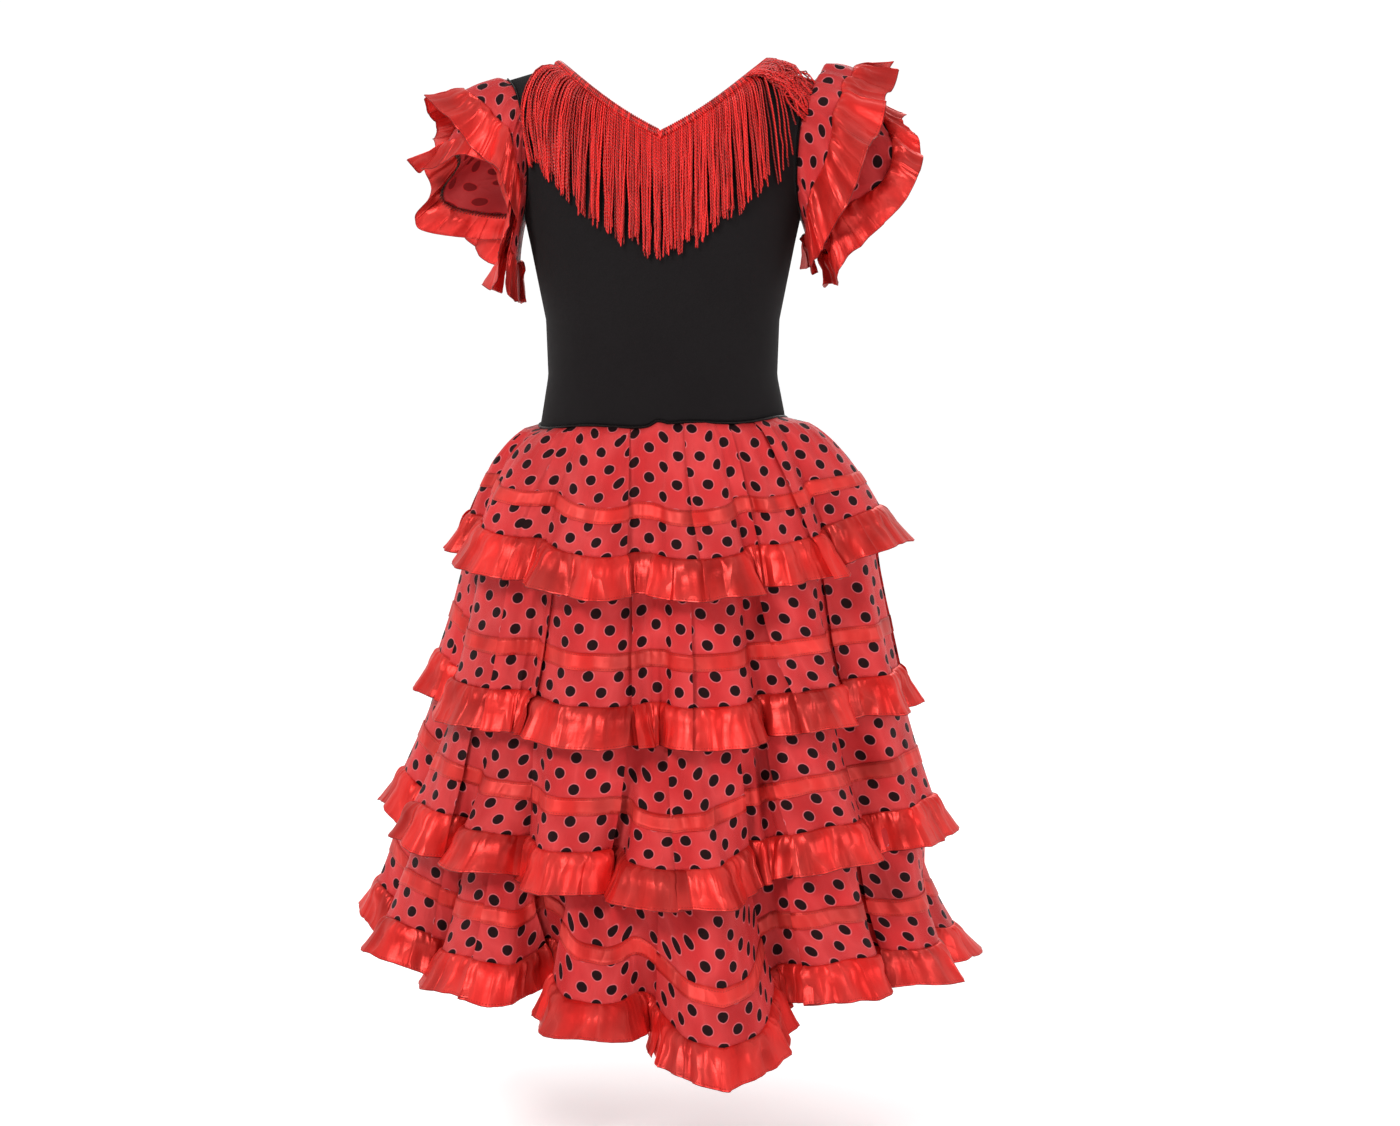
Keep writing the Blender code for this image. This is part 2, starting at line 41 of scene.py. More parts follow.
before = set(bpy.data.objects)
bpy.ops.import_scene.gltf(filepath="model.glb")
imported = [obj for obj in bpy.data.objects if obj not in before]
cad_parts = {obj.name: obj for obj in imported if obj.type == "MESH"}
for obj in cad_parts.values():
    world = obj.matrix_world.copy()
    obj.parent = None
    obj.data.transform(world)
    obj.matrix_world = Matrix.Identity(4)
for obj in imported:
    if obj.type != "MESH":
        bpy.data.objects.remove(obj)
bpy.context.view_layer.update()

# ---------------------------------------------------------------- the dress's form
# The frame is in metres, +Z up, front at -Y. Angles run round the body from the
# centre front, positive towards +X.

WAIST_Z = -0.345
BODICE_SECTIONS = (
    # height, half_width, front_depth, back_depth
    (-0.345, 0.122, 0.093, 0.085),
    (-0.300, 0.114, 0.092, 0.082),
    (-0.245, 0.116, 0.095, 0.084),
    (-0.170, 0.131, 0.099, 0.090),
    (-0.145, 0.1365, 0.099, 0.091),
    (-0.090, 0.146, 0.097, 0.091),
    (0.020, 0.172, 0.090, 0.085),
)
# 2 is an ellipse, more is squarer
OVAL_POWER = 2.3
# the uneven waist seam: its drop, tilt, ripple and the little tuck at an angle
WAIST_SEAM_DROP = 0.0003
WAIST_TILT = 0.0042
WAIST_RIPPLE = 0.0016
WAIST_RIPPLE_TURN = 9
WAIST_TUCK = (-2, 4.0, 0.0045)
NECK_HALF_WIDTH = 0.099
NECK_TOP_Z = 0.0056
SHOULDER_TIP = (0.152, -0.010)
SHOULDER_SLOPE = (NECK_TOP_Z - SHOULDER_TIP[1]) / (SHOULDER_TIP[0] - NECK_HALF_WIDTH)
SHOULDER_ROLL = 0.080
# the step that a surface's slope is measured over, and what counts as level
NEAR = 0.0005
LEVEL = 0.001
NECK_SAG = 0.006
NECK_Z = {-1: -0.066, 1: -0.078}
ARMHOLE = (
    # half_width, height, from the underarm to the shoulder tip
    (0.1365, -0.145),
    (0.1315, -0.127),
    (0.1300, -0.098),
    (0.1320, -0.064),
    (0.1375, -0.037),
    (0.1435, -0.021),
    (0.1520, -0.010),
)
NECK_COLUMNS = 4
NECK_CROWDING = 1.6
SHOULDER_COLUMNS = 2
SIDE_ROWS = 4

PANEL_WALL = 0.0016
PANEL_TUCK = 0.0025
PANEL_TUCK_GAP = 0.0010
PANEL_TUCK_FROM = 0.9
# how late a panel spreads on its way down: 1 is evenly, less is soon
PANEL_EASE = {"front": 1.9, "side": 1.4}
WAIST_PANEL_EASE = {"front": 0.9, "side": 0.5}
# points round a tier's edge
RING = 720
RUFFLE_DEPTHS = (0.042, 0.040, 0.040, 0.037)
RUFFLE_FLARE = {"front": math.radians(8), "side": math.radians(11)}
RUFFLE_OUTWARD = 0.45
# the flat share of a flute's span, and how pointed its lower edge is
FLUTE_FLAT = 0.18
FLUTE_POINT = 0.5
TIERS = (
    # half_width, front_depth, back_depth, side_z, front_z, back_z
    (0.184, 0.136, 0.132, -0.438, -0.466, -0.462),
    (0.206, 0.154, 0.148, -0.590, -0.606, -0.602),
    (0.233, 0.168, 0.162, -0.724, -0.742, -0.738),
    (0.252, 0.182, 0.174, -0.848, -0.860, -0.858),
)
FLUTES = (
    # one table for each tier: azimuth, half_span, out, drop, fold
    (
        (-132, 18, 0.013, 0.004, 0.10), (-95, 18, 0.010, -0.002, 0.05),
        (-56, 17, 0.014, 0.004, 0.10), (-22, 15, 0.018, 0.006, 0.15),
        (12, 15, 0.018, 0.006, 0.15), (43, 15, 0.015, 0.003, 0.15), (80, 24, 0.030, -0.010, 0.05),
        (120, 17, 0.013, 0.002, 0.10), (154, 18, 0.015, 0.005, 0.10),
        (190, 18, 0.015, 0.005, 0.10),
    ),
    (
        (-131, 17, 0.018, 0.004, 0.12), (-94, 17, 0.020, -0.014, 0.10),
        (-57, 17, 0.020, 0.004, 0.15), (-20, 18, 0.026, 0.004, 0.15),
        (13, 13, 0.024, 0.004, 0.20), (40, 13, 0.022, -0.002, 0.20),
        (76, 22, 0.034, -0.002, 0.10), (114, 18, 0.018, 0.002, 0.12),
        (151, 18, 0.022, 0.005, 0.12), (189, 18, 0.022, 0.005, 0.12),
    ),
    (
        (-130, 17, 0.026, 0.005, 0.15), (-95, 18, 0.030, -0.026, 0.12),
        (-64, 13, 0.026, -0.010, 0.15), (-42, 12, 0.028, -0.002, 0.12),
        (-21, 12, 0.038, 0.002, 0.10), (4, 18, 0.054, 0.012, 0.08), (40, 15, 0.030, -0.010, 0.16),
        (76, 20, 0.038, -0.008, 0.12), (112, 17, 0.024, 0.000, 0.15),
        (150, 18, 0.030, 0.005, 0.18), (189, 18, 0.032, 0.005, 0.18),
    ),
    (
        (-136, 18, 0.036, 0.006, 0.18), (-100, 18, 0.040, -0.034, 0.12),
        (-68, 14, 0.034, -0.018, 0.18), (-40, 13, 0.044, -0.008, 0.22),
        (-25, 9, -0.010, -0.024, 0.00), (-12, 13, 0.070, 0.012, 0.08),
        (10, 16, 0.094, 0.044, 0.06), (38, 12, 0.040, -0.006, 0.20), (65, 13, 0.036, 0.006, 0.18),
        (92, 16, 0.040, 0.012, 0.15), (120, 16, 0.030, 0.004, 0.16),
        (156, 16, 0.040, 0.005, 0.18), (190, 17, 0.040, 0.005, 0.18),
    ),
)
# Pressed folds: angle at the top, angle at the lower edge, depth, and which side lies
# over: 1 the side before the fold, -1 the side after it.
FOLDS = (
    (
        (-160, -162, 0.004, 1), (-128, -131, 0.005, -1), (-97, -96, 0.004, 1),
        (-66, -70, 0.004, -1), (-42, -47, 0.004, -1), (-12, -13, 0.006, 1), (8, 12, 0.004, -1),
        (28, 31, 0.003, 1), (44, 46, 0.005, -1), (84, 86, 0.005, 1), (117, 114, 0.004, -1),
        (146, 149, 0.005, 1),
    ),
    (
        (-164, -167, 0.006, 1), (-137, -134, 0.005, -1), (-108, -110, 0.006, 1),
        (-80, -82, 0.006, -1), (-50, -50, 0.006, -1), (-32, -31, 0.004, 1), (-9, -9.5, 0.005, -1),
        (9, 9, 0.004, 1), (29, 37, 0.010, -1), (56, 58, 0.004, -1), (86, 84, 0.006, -1),
        (113, 116, 0.005, 1), (139, 137, 0.006, -1), (168, 166, 0.005, 1),
    ),
    (
        (-166, -163, 0.007, -1), (-139, -142, 0.006, 1), (-112, -113, 0.007, -1),
        (-82, -78, 0.008, -1), (-55, -58, 0.006, 1), (-33, -31, 0.008, -1), (-11, -12, 0.009, 1),
        (3, 4, 0.003, -1), (16, 18, 0.005, 1), (29, 33, 0.012, -1), (50, 55, 0.007, 1),
        (82, 86, 0.006, 1), (112, 110, 0.007, -1), (140, 143, 0.006, 1), (168, 169, 0.006, -1),
    ),
    (
        (-167, -165, 0.008, 1), (-142, -145, 0.007, -1), (-112, -115, 0.008, 1),
        (-82, -80, 0.009, -1), (-57, -59, 0.008, -1), (-40, -38, 0.007, -1), (-31, -29, 0.008, 1),
        (-19, -18.5, 0.012, -1), (1, 1, 0.004, -1), (19, 20.5, 0.014, 1), (31, 33, 0.009, -1),
        (54, 57, 0.008, -1), (78, 80, 0.007, 1), (107, 109, 0.008, -1), (138, 136, 0.008, 1),
        (170, 172, 0.007, -1),
    ),
)
# Pressed ridges: angle, half_width in degrees, height
PRESSED = (
    (
        (-55, 6, 0.0030), (-19, 5, 0.0028), (-5, 5, 0.0022), (3, 4, 0.0022), (17, 6, 0.0030),
        (37, 6, 0.0026), (62, 7, 0.0030), (-82, 7, 0.0030), (-111, 8, 0.0032), (-146, 8, 0.0030),
        (100, 7, 0.0030), (131, 8, 0.0032), (164, 7, 0.0028),
    ),
    (
        (-62, 6, 0.0032), (-41, 5, 0.0030), (-22, 5, 0.0028), (-16, 4, 0.0024), (0, 4, 0.0028),
        (17, 5, 0.0030), (24, 4, 0.0022), (46, 6, 0.0032), (68, 6, 0.0030), (-94, 8, 0.0034),
        (-122, 8, 0.0032), (-151, 8, 0.0030), (100, 7, 0.0032), (127, 8, 0.0030),
        (153, 8, 0.0034),
    ),
    (
        (-68, 6, 0.0034), (-44, 5, 0.0034), (-22, 5, 0.0030), (-4, 4, 0.0028), (10, 4, 0.0032),
        (24, 3, 0.0028), (43, 5, 0.0030), (66, 6, 0.0036), (-97, 8, 0.0036), (-126, 8, 0.0034),
        (-152, 7, 0.0032), (99, 7, 0.0034), (126, 8, 0.0036), (155, 7, 0.0032),
    ),
    (
        (-68, 5, 0.0038), (-47, 5, 0.0036), (-34, 3, 0.0026), (-9, 5, 0.0034), (10.5, 8, 0.0095),
        (26, 4, 0.0030), (43, 5, 0.0040), (66, 6, 0.0042), (-97, 8, 0.0040), (-128, 8, 0.0038),
        (-154, 7, 0.0036), (93, 7, 0.0040), (122, 8, 0.0040), (154, 8, 0.0036),
    ),
)
# degrees that a fold laps, how far its lip stands out as a share of its depth, and the
# share of both at the panel's top
FOLD_LAP = 0.8
FOLD_LIP = 0.22
FOLD_TOP_SHARE = 0.35

SLEEVE_LAYERS = {
    # length, out, spread, droop at the top, the front or back, and the underarm
    "upper": (
        (0.046, 0.98, 0.12, 0.010),
        (0.064, 0.88, 0.42, 0.026),
        (0.014, 0.30, 0.95, 0.000),
    ),
    "lower": (
        (0.060, 0.96, -0.14, 0.018),
        (0.056, 0.86, 0.10, 0.040),
        (0.034, 0.56, 0.76, 0.006),
    ),
}
SLEEVE_LOBES = {
    # turn from the top by the front, half_span, push out, extra reach
    "left_upper": (
        (5, 28, 0.004, -0.004), (38, 26, -0.002, -0.006), (76, 34, 0.008, 0.010),
        (118, 28, -0.002, -0.006), (160, 30, 0.004, 0.000), (228, 28, 0.004, -0.004),
        (275, 34, 0.010, 0.010), (322, 26, -0.003, -0.006),
    ),
    "left_lower": (
        (20, 30, 0.006, 0.000), (95, 30, 0.010, 0.002), (140, 34, 0.000, -0.014),
        (190, 28, -0.002, 0.004), (250, 30, 0.006, 0.000), (315, 30, 0.006, 0.002),
    ),
    "right_upper": (
        (352, 26, 0.004, -0.004), (28, 24, -0.002, -0.006), (80, 40, 0.009, 0.020),
        (112, 26, 0.000, -0.006), (155, 30, 0.006, 0.000), (220, 28, 0.006, -0.004),
        (268, 32, 0.012, 0.010), (314, 26, 0.000, -0.006),
    ),
    "right_lower": (
        (25, 30, 0.006, 0.000), (88, 30, 0.008, 0.000), (140, 34, 0.002, -0.010),
        (192, 28, -0.002, 0.004), (255, 30, 0.006, 0.000), (320, 30, 0.006, 0.002),
    ),
}
SLEEVE_LIFT = {"left": -0.012, "right": 0.009}
SLEEVE_TILT = {"left": 0.16, "right": 0.05}
SLEEVE_FLARE = {"front": 0.0, "side": 0.0}
SLEEVE_EDGE_WAVE = 0.0095
SLEEVE_STAND = 0.0012
OVERLOCK_STEP = 0.0016
# the lower edges of the sleeves' flounces, kept for their overlock stitches
SEWN = {}
# how each flounce happens to fall, round the sleeve from the top by the front:
# turn in degrees, share of its length, drop, puff at the seam, share of its edge
SLEEVE_FALLS = {
    "left_upper": (
        (0, 1.00, 0.002, 0.003, 0.95), (36, 0.55, 0.0, 0.0, 0.90), (70, 0.16, 0.0, 0.0, 0.90),
        (115, 0.12, 0.0, 0.0, 0.80), (148, 0.80, 0.026, 0.0, 0.95), (188, 1.00, 0.026, 0.0, 0.95),
        (225, 0.95, 0.008, 0.0, 0.85), (270, 1.00, 0.0, 0.0, 1.00),
    ),
    "left_lower": (
        (0, 0.95, 0.024, 0.0, 0.90), (45, 0.26, 0.0, 0.0, 0.72), (100, 0.20, 0.0, 0.0, 0.72),
        (150, 0.90, 0.010, 0.0, 0.90), (180, 1.00, 0.0, 0.0, 0.90), (208, 0.30, 0.0, 0.0, 0.55),
        (230, 0.32, 0.0, 0.0, 0.55), (254, 1.40, 0.0, 0.0, 1.00), (290, 1.00, 0.0, 0.0, 0.90),
    ),
    "right_upper": (
        (0, 0.84, 0.008, 0.012, 0.90), (38, 0.72, 0.0, 0.004, 1.0), (72, 0.40, 0.0, 0.0, 1.3),
        (125, 0.34, 0.0, 0.0, 1.2), (180, 1.00, 0.0, 0.0, 0.75), (270, 1.00, 0.0, 0.0, 1.00),
    ),
    "right_lower": (
        (0, 0.80, 0.012, 0.006, 0.90), (86, 1.62, 0.0, 0.0, 0.66), (125, 1.00, 0.0, 0.0, 0.95),
        (150, 1.25, 0.010, 0.0, 0.80), (180, 0.95, 0.0, 0.0, 0.75), (240, 0.70, 0.0, 0.0, 0.80),
        (300, 1.00, 0.0, 0.0, 1.00),
    ),
}
# where the lower flounce starts, as a share of the upper one's first third, and its gap
LOWER_LAYER_START = 0.25
LOWER_LAYER_GAP = 0.0008

# the fringe's depth at the centre, how it shortens to the sides, and how strands fan out
FRINGE_DEPTH = 0.119
FRINGE_RISE = (0.35, 3.2)
STRAND_FAN = 0.27
STRAND_FAN_POWER = 2.2
SHOULDER_BEND = {"out": 0.55, "down": 1.4}
SHOULDER_BOW = 0.016
SHOULDER_STRANDS = 44
STRAND_START = 0.0060
# the heading's loops: spacing, how far they reach down and over the edge, how far they
# stand off and bulge, how far they slant, and how near the point of the V they turn down
HEADING_LOOP = 0.0022
HEADING_WIDTH, HEADING_OVER = 0.0078, 0.0011
HEADING_LIFT, HEADING_BULGE = 0.0012, 0.0019
HEADING_SLANT, HEADING_POINT = 0.0036, 0.007
HEADING_THREAD, HEADING_STEPS, HEADING_POINTS = 0.0014, 160, 6
STRAND_STEPS = (0, 0.012, 0.08, 0.17, 0.26, 0.35, 0.44, 0.53, 0.62, 0.71, 0.80, 0.89, 0.988, 1)
# the strands that were brushed aside: where along the neck they start, the share of
# the others left there, and their number
SWEPT_FROM = 0.86
SWEPT_LEFT = 0.4
SWEPT_STRANDS = 64
SWEPT_NECK, SWEPT_START, SWEPT_CURL = 0.20, 0.003, 0.0085
SWEPT_COURSE = (
    # x and z of the first and the last one: where they bend, and where they end
    ((0.130, -0.001), (0.112, -0.014)),
    ((0.147, -0.022), (0.134, -0.052)),
)
SWEPT_UNEVEN = ((-0.005, 0.002), (-0.007, 0.005))
BACK_STRANDS = 0.9
SHOULDER_SHARE = 0.24
STRANDS_REACH, STRAND_TIP = 0.985, 0.92
STRAND_UNEVEN = (-0.004, 0.010)
FRINGE_SEED, STRAND_CHANCE = 7, (0.1, 0.9)
# numbers that tell the heading's loops and the shoulder's strands from the others
HEADING_MARK, SHOULDER_MARK = 1000, 100
# how soon a strand nears its tuft, and how far one leans by itself
STRAND_PULL, STRAND_LEAN = 1.4, 0.0020
STRAND_SWAYS = (
    # size, waves along the strand, seed, how soon it starts
    (0.0019, 3.5, 9, 2),
    (0.0009, 11, 5, 3),
)
# how far a strand stands off the bodice
STRAND_LIFT = {"root": 0.0012, "layer": 0.0013, "hang": 0.0022, "waver": 0.0012,
               "shoulder": 0.0035}
SWEPT_LIFT = {"root": 0.0040, "layer": 0.0016, "arch": 0.0030}
# how soon a strand hangs free of its root, and leaves the bodice; the least share of
# its layer's lift; waves along it of that lift and of a swept one's curl
FREE_SOON, HANG_SOON, LAYER_LEAST = 7, 4, 0.35
WAVER_WAVES, CURL_WAVES = 4, 6
TUFT_REACH, TUFT_SPACING = 0.15, (0.0050, 0.0150)
TUFT_PULL, TUFT_DROP = (0.15, 0.72), (-0.005, 0.004)


def mix(a, b, t):
    """The value at share t of the way from a to b."""
    return a + (b - a) * t


def clamp(t):
    """The value held between 0 and 1."""
    return min(max(t, 0.0), 1.0)


def ease(t):
    """A soft step from 0 to 1."""
    t = clamp(t)
    return t * t * (3 - 2 * t)


def section(z):
    """Half width, front depth and back depth of the bodice at a height."""
    rows = BODICE_SECTIONS
    z = min(max(z, rows[0][0]), rows[-1][0])
    k = max(i for i in range(len(rows) - 1) if rows[i][0] <= z)
    f = (z - rows[k][0]) / (rows[k + 1][0] - rows[k][0])
    return [mix(a, b, f) for a, b in zip(rows[k][1:], rows[k + 1][1:])]


def torso(x, z, side):
    """The bodice's outer surface over x, z: side is -1 for the front, 1 for the back."""
    half_width, front, back = section(z)
    across = min(abs(x) / half_width, 1.0)
    ridge = NECK_TOP_Z - (abs(x) - NECK_HALF_WIDTH) * SHOULDER_SLOPE
    below = clamp((ridge - z) / SHOULDER_ROLL)
    roll = math.sqrt(max(1 - (1 - below) ** 2, 0.0))
    depth = (front if side < 0 else back) * roll
    depth *= (1 - across**OVAL_POWER) ** (1 / OVAL_POWER)
    return Vector((x, side * depth, z))


def off_torso(x, z, side, lift):
    """A point lifted off the bodice's surface over x, z."""
    across = torso(x + NEAR, z, side) - torso(x - NEAR, z, side)
    along = torso(x, z + NEAR, side) - torso(x, z - NEAR, side)
    normal = across.cross(along).normalized()
    if normal.y * side < 0 or (abs(normal.y) < LEVEL and normal.z < 0):
        normal = -normal
    return torso(x, z, side) + normal * lift


def neck_line(f, neck_z):
    """The V neck's edge from the shoulder, f = 0, to the centre, f = 1."""
    sag = NECK_SAG * math.sin(math.pi * f)
    return mix(NECK_HALF_WIDTH, 0.0, f), mix(NECK_TOP_Z, neck_z, f) - sag


def around(x, z):
    """The angle round the torso, from the centre line, of a point at x, z."""
    return math.asin(min(abs(x) / section(z)[0], 1.0))


def armhole_at(f):
    """A point of the armhole's edge, f counted in the steps of ARMHOLE."""
    k = min(int(f), len(ARMHOLE) - 2)
    before, after = ARMHOLE[max(k - 1, 0)], ARMHOLE[min(k + 2, len(ARMHOLE) - 1)]
    start, end, t = ARMHOLE[k], ARMHOLE[k + 1], f - k
    point = []
    for i in (0, 1):
        lead, trail = (end[i] - before[i]) / 2, (after[i] - start[i]) / 2
        cube, square = t**3, t**2
        point.append(
            (2 * cube - 3 * square + 1) * start[i]
            + (cube - 2 * square + t) * lead
            + (3 * square - 2 * cube) * end[i]
            + (cube - square) * trail
        )
    return point


def side_edge(r):
    """Angle and height on a panel's side: the side seam, then the armhole."""
    if r < SIDE_ROWS:
        return math.pi / 2, mix(WAIST_Z, ARMHOLE[0][1], r / SIDE_ROWS)
    x, z = armhole_at(r - SIDE_ROWS)
    return around(x, z), z


def top_edge(k, neck_z):
    """Angle and height on a panel's top: the shoulder seam, then the neck."""
    if k <= SHOULDER_COLUMNS:
        f = k / SHOULDER_COLUMNS
        x = mix(SHOULDER_TIP[0], NECK_HALF_WIDTH, f)
        z = mix(SHOULDER_TIP[1], NECK_TOP_Z, f)
    else:
        x, z = neck_line(((k - SHOULDER_COLUMNS) / NECK_COLUMNS) ** NECK_CROWDING, neck_z)
    return around(x, z), z


def bodice_point(u, w, side):
    """A bodice panel between its side, u = 0 or 2, centre, u = 1, waist and top."""
    neck_z = NECK_Z[side]
    half, rows = SHOULDER_COLUMNS + NECK_COLUMNS, SIDE_ROWS + len(ARMHOLE) - 1
    sign = -1 if u <= 1 else 1
    u = u if u <= 1 else 2 - u
    waist, top = (math.pi / 2 * (1 - u), WAIST_Z), top_edge(u * half, neck_z)
    tip, middle_top = top_edge(0, neck_z), top_edge(half, neck_z)
    edge, centre = side_edge(w * rows), (0.0, mix(WAIST_Z, neck_z, w))
    angle, z = [
        mix(edge[i], centre[i], u)
        + mix(waist[i], top[i], w)
        - mix(waist[i], mix(tip[i], middle_top[i], u), w)
        for i in (0, 1)
    ]
    return torso(sign * section(z)[0] * math.sin(angle), z, side)


def waist_point(angle):
    """A point of the waist line."""
    a = math.radians(angle)
    half_width, front, back = section(WAIST_Z)
    depth = front if math.cos(a) > 0 else back
    power = 2 / OVAL_POWER
    x = half_width * math.copysign(abs(math.sin(a)) ** power, math.sin(a))
    y = -depth * math.copysign(abs(math.cos(a)) ** power, math.cos(a))
    return Vector((x, y, WAIST_Z - WAIST_SEAM_DROP))


def waist_lift(x, y):
    """How far the uneven waist seam lies above or below its level line."""
    angle = math.degrees(math.atan2(x, -y))
    place, half, height = WAIST_TUCK
    lift = WAIST_TILT * math.sin(math.radians(angle))
    lift += height * math.exp(-(((angle - place) / half) ** 2))
    return lift + WAIST_RIPPLE * math.sin(angle / WAIST_RIPPLE_TURN)


def flute_form(tier, angle):
    """What the flutes of a tier add at an angle: out, drop, and turn in degrees."""
    out = drop = turn = 0.0
    for azimuth, half_span, push, lower, fold in FLUTES[tier]:
        x = ((angle - azimuth + 180) % 360 - 180) / half_span
        if abs(x) < 1:
            share = 1 - ease((abs(x) - FLUTE_FLAT) / (1 - FLUTE_FLAT))
            out += push * share
            drop += lower * mix(share, 1 - abs(x), FLUTE_POINT)
            turn += fold * half_span * math.sin(math.pi * x)
    return out, drop, turn


def panel_edge(tier, angle):
    """A point on the lower edge of a tier's dotted panel."""
    half_width, front, back, side_z, front_z, back_z = TIERS[tier]
    out, drop, turn = flute_form(tier, angle)
    a = math.radians(angle + turn)
    depth, middle_z = (front, front_z) if math.cos(a) > 0 else (back, back_z)
    way = Vector((math.sin(a) / half_width, -math.cos(a) / depth, 0)).normalized()
    z = mix(side_z, middle_z, math.cos(a) ** 2) - drop
    return Vector((half_width * math.sin(a), -depth * math.cos(a), z)) + way * out


class TierForm:
    """A tier's smooth panel, from its top ring to its lower edge."""

    def __init__(self, number, above):
        self.power = PANEL_EASE if number else WAIST_PANEL_EASE
        angles = [360 * k / RING for k in range(RING)]
        self.edge = [panel_edge(number, a) for a in angles]
        if above is None:
            self.top = [waist_point(a) for a in angles]
            return
        self.top = []
        for a in angles:
            low, high = above.point(a, 1), above.point(a, PANEL_TUCK_FROM)
            tuck = low + (high - low).normalized() * PANEL_TUCK
            self.top.append(tuck - above.outward(a, 1) * (PANEL_WALL + PANEL_TUCK_GAP))

    def ends(self, angle):
        """Top and lower end of the panel's line at an angle."""
        place = angle % 360 / 360 * RING
        k = int(place)
        after, f = (k + 1) % RING, place - k
        k %= RING
        return self.top[k].lerp(self.top[after], f), self.edge[k].lerp(self.edge[after], f)

    def point(self, angle, v):
        """A point of the panel, v = 0 at its top and 1 at its lower edge."""
        start, end = self.ends(angle)
        power = mix(self.power["side"], self.power["front"], math.cos(math.radians(angle)) ** 2)
        point = start.lerp(end, v**power)
        point.z = mix(start.z, end.z, v)
        return point

    def outward(self, angle, v):
        """The level direction out of the panel at a point of it."""
        across = self.point(angle + 1, v) - self.point(angle - 1, v)
        return Vector((across.y, -across.x, 0)).normalized()


# ---------------------------------------------------------------- cloth as meshes

# spacing, height and reach of the gathers at the seam, spacing of the folds, depth of
# the pressed pleats, and how far the loose edge flops
SKIRT_LOOK = {"gather": 0.0066, "height": 0.0028, "fold": 0.062, "pleat": 0.0012, "flop": 0.0}
SLEEVE_LOOK = {"gather": 0.0105, "height": 0.0050, "fold": 0.050, "pleat": 0.0014, "flop": 0.012}
GATHER_DEEP, GATHER_LEAN = 0.0062, 0.9
# spacing, height, reach and lean of the few long gathers
LONG_GATHERS = (0.044, 0.0028, 0.050, 0.4)
PLEAT_SPACING = 0.022
DROOP_SPACING, DROOP = 0.05, 0.0018
RUFFLE_SPACING = 0.0015
RUFFLE_ROWS = (0.0, 0.0010, 0.0021, 0.0034, 0.0050, 0.0072, 0.0100, 0.0138, 0.0185, 0.0240,
               0.0295, 0.0345)
RUFFLE_HEM = (0.0022, 0.0008, 0.0)
RUFFLE_TYPICAL = 0.040
FOLD_EDGE, LAST_GAP = 0.0010, 0.0004
PUFF, PUFF_REACH = 0.0020, 0.018
SEAM_RISE = 0.0012
CREASE_HEIGHT = 0.0005
HEM_HEIGHT, HEM_FROM, HEM_TO = 0.0004, 0.0003, 0.0030
SEAM_SINK, SEAM_OVERLAP = 0.0012, 0.0015
RUFFLE_CRUMPLE = 0.0009
# how soon below the seam the pleats and the creases grow, and how the swing does
PLEATS_SOON, CREASES_SOON, SWING_POWER = 2, 3, 0.9
# the flop of a loose edge: its mean, its unevenness, how late it grows, and its bends
FLOP_MEAN, FLOP_UNEVEN, FLOP_POWER, FLOP_BEND = 0.45, 1.3, 1.3, 0.8
RUFFLE_NOISE = (
    # waves a metre along and down, and seed, of the crumples, the flop and the bends
    (70, 45, 0),
    (17, 20, 0.5),
    (11, 9, 7.5),
)
# metres of cloth for each metre of a ruffle's seam, as its UV counts them
UV_FULLNESS = 1.3

# how gathers and facets vary: place in shares of their spacing, and times their sizes
GATHER_SHIFT, GATHER_HALF = 0.35, (0.30, 0.62)
GATHER_HEIGHT, GATHER_REACH, GATHER_POWER = (0.25, 1.5), (0.35, 1.9), 1.2
FACET_SHIFT, FACET_HEIGHT = 0.32, (0.45, 1.3)
CREASE_HALF, CREASE_VALLEY = 0.0008, -0.6
CRUMPLES = (
    # waves along and down in a metre of cloth, height
    (22, 16, 0.0012),
    (60, 45, 0.0005),
)


class Gathers:
    """Small ridges round a ring, each starting at a seam and dying away below it."""

    def __init__(self, seed, count, height, reach, lean=0.0):
        draw = random.Random(seed)
        self.ridges = [
            (
                (k + draw.uniform(-GATHER_SHIFT, GATHER_SHIFT)) / count,
                draw.uniform(*GATHER_HALF) / count,
                height * draw.uniform(*GATHER_HEIGHT),
                reach * draw.uniform(*GATHER_REACH),
                lean * draw.uniform(-1, 1) / count,
            )
            for k in range(count)
        ]

    def at(self, s, down):
        """Height of the ridges at share s of the ring, a distance down from the seam."""
        total, count = 0.0, len(self.ridges)
        middle = int(s * count)
        for k in (middle - 1, middle, middle + 1):
            centre, half, height, reach, lean = self.ridges[k % count]
            gap = abs((s - centre - lean * min(down / reach, 1) + 0.5) % 1 - 0.5)
            if gap < half:
                total += height * (1 - gap / half) ** GATHER_POWER * math.exp(-down / reach)
        return total


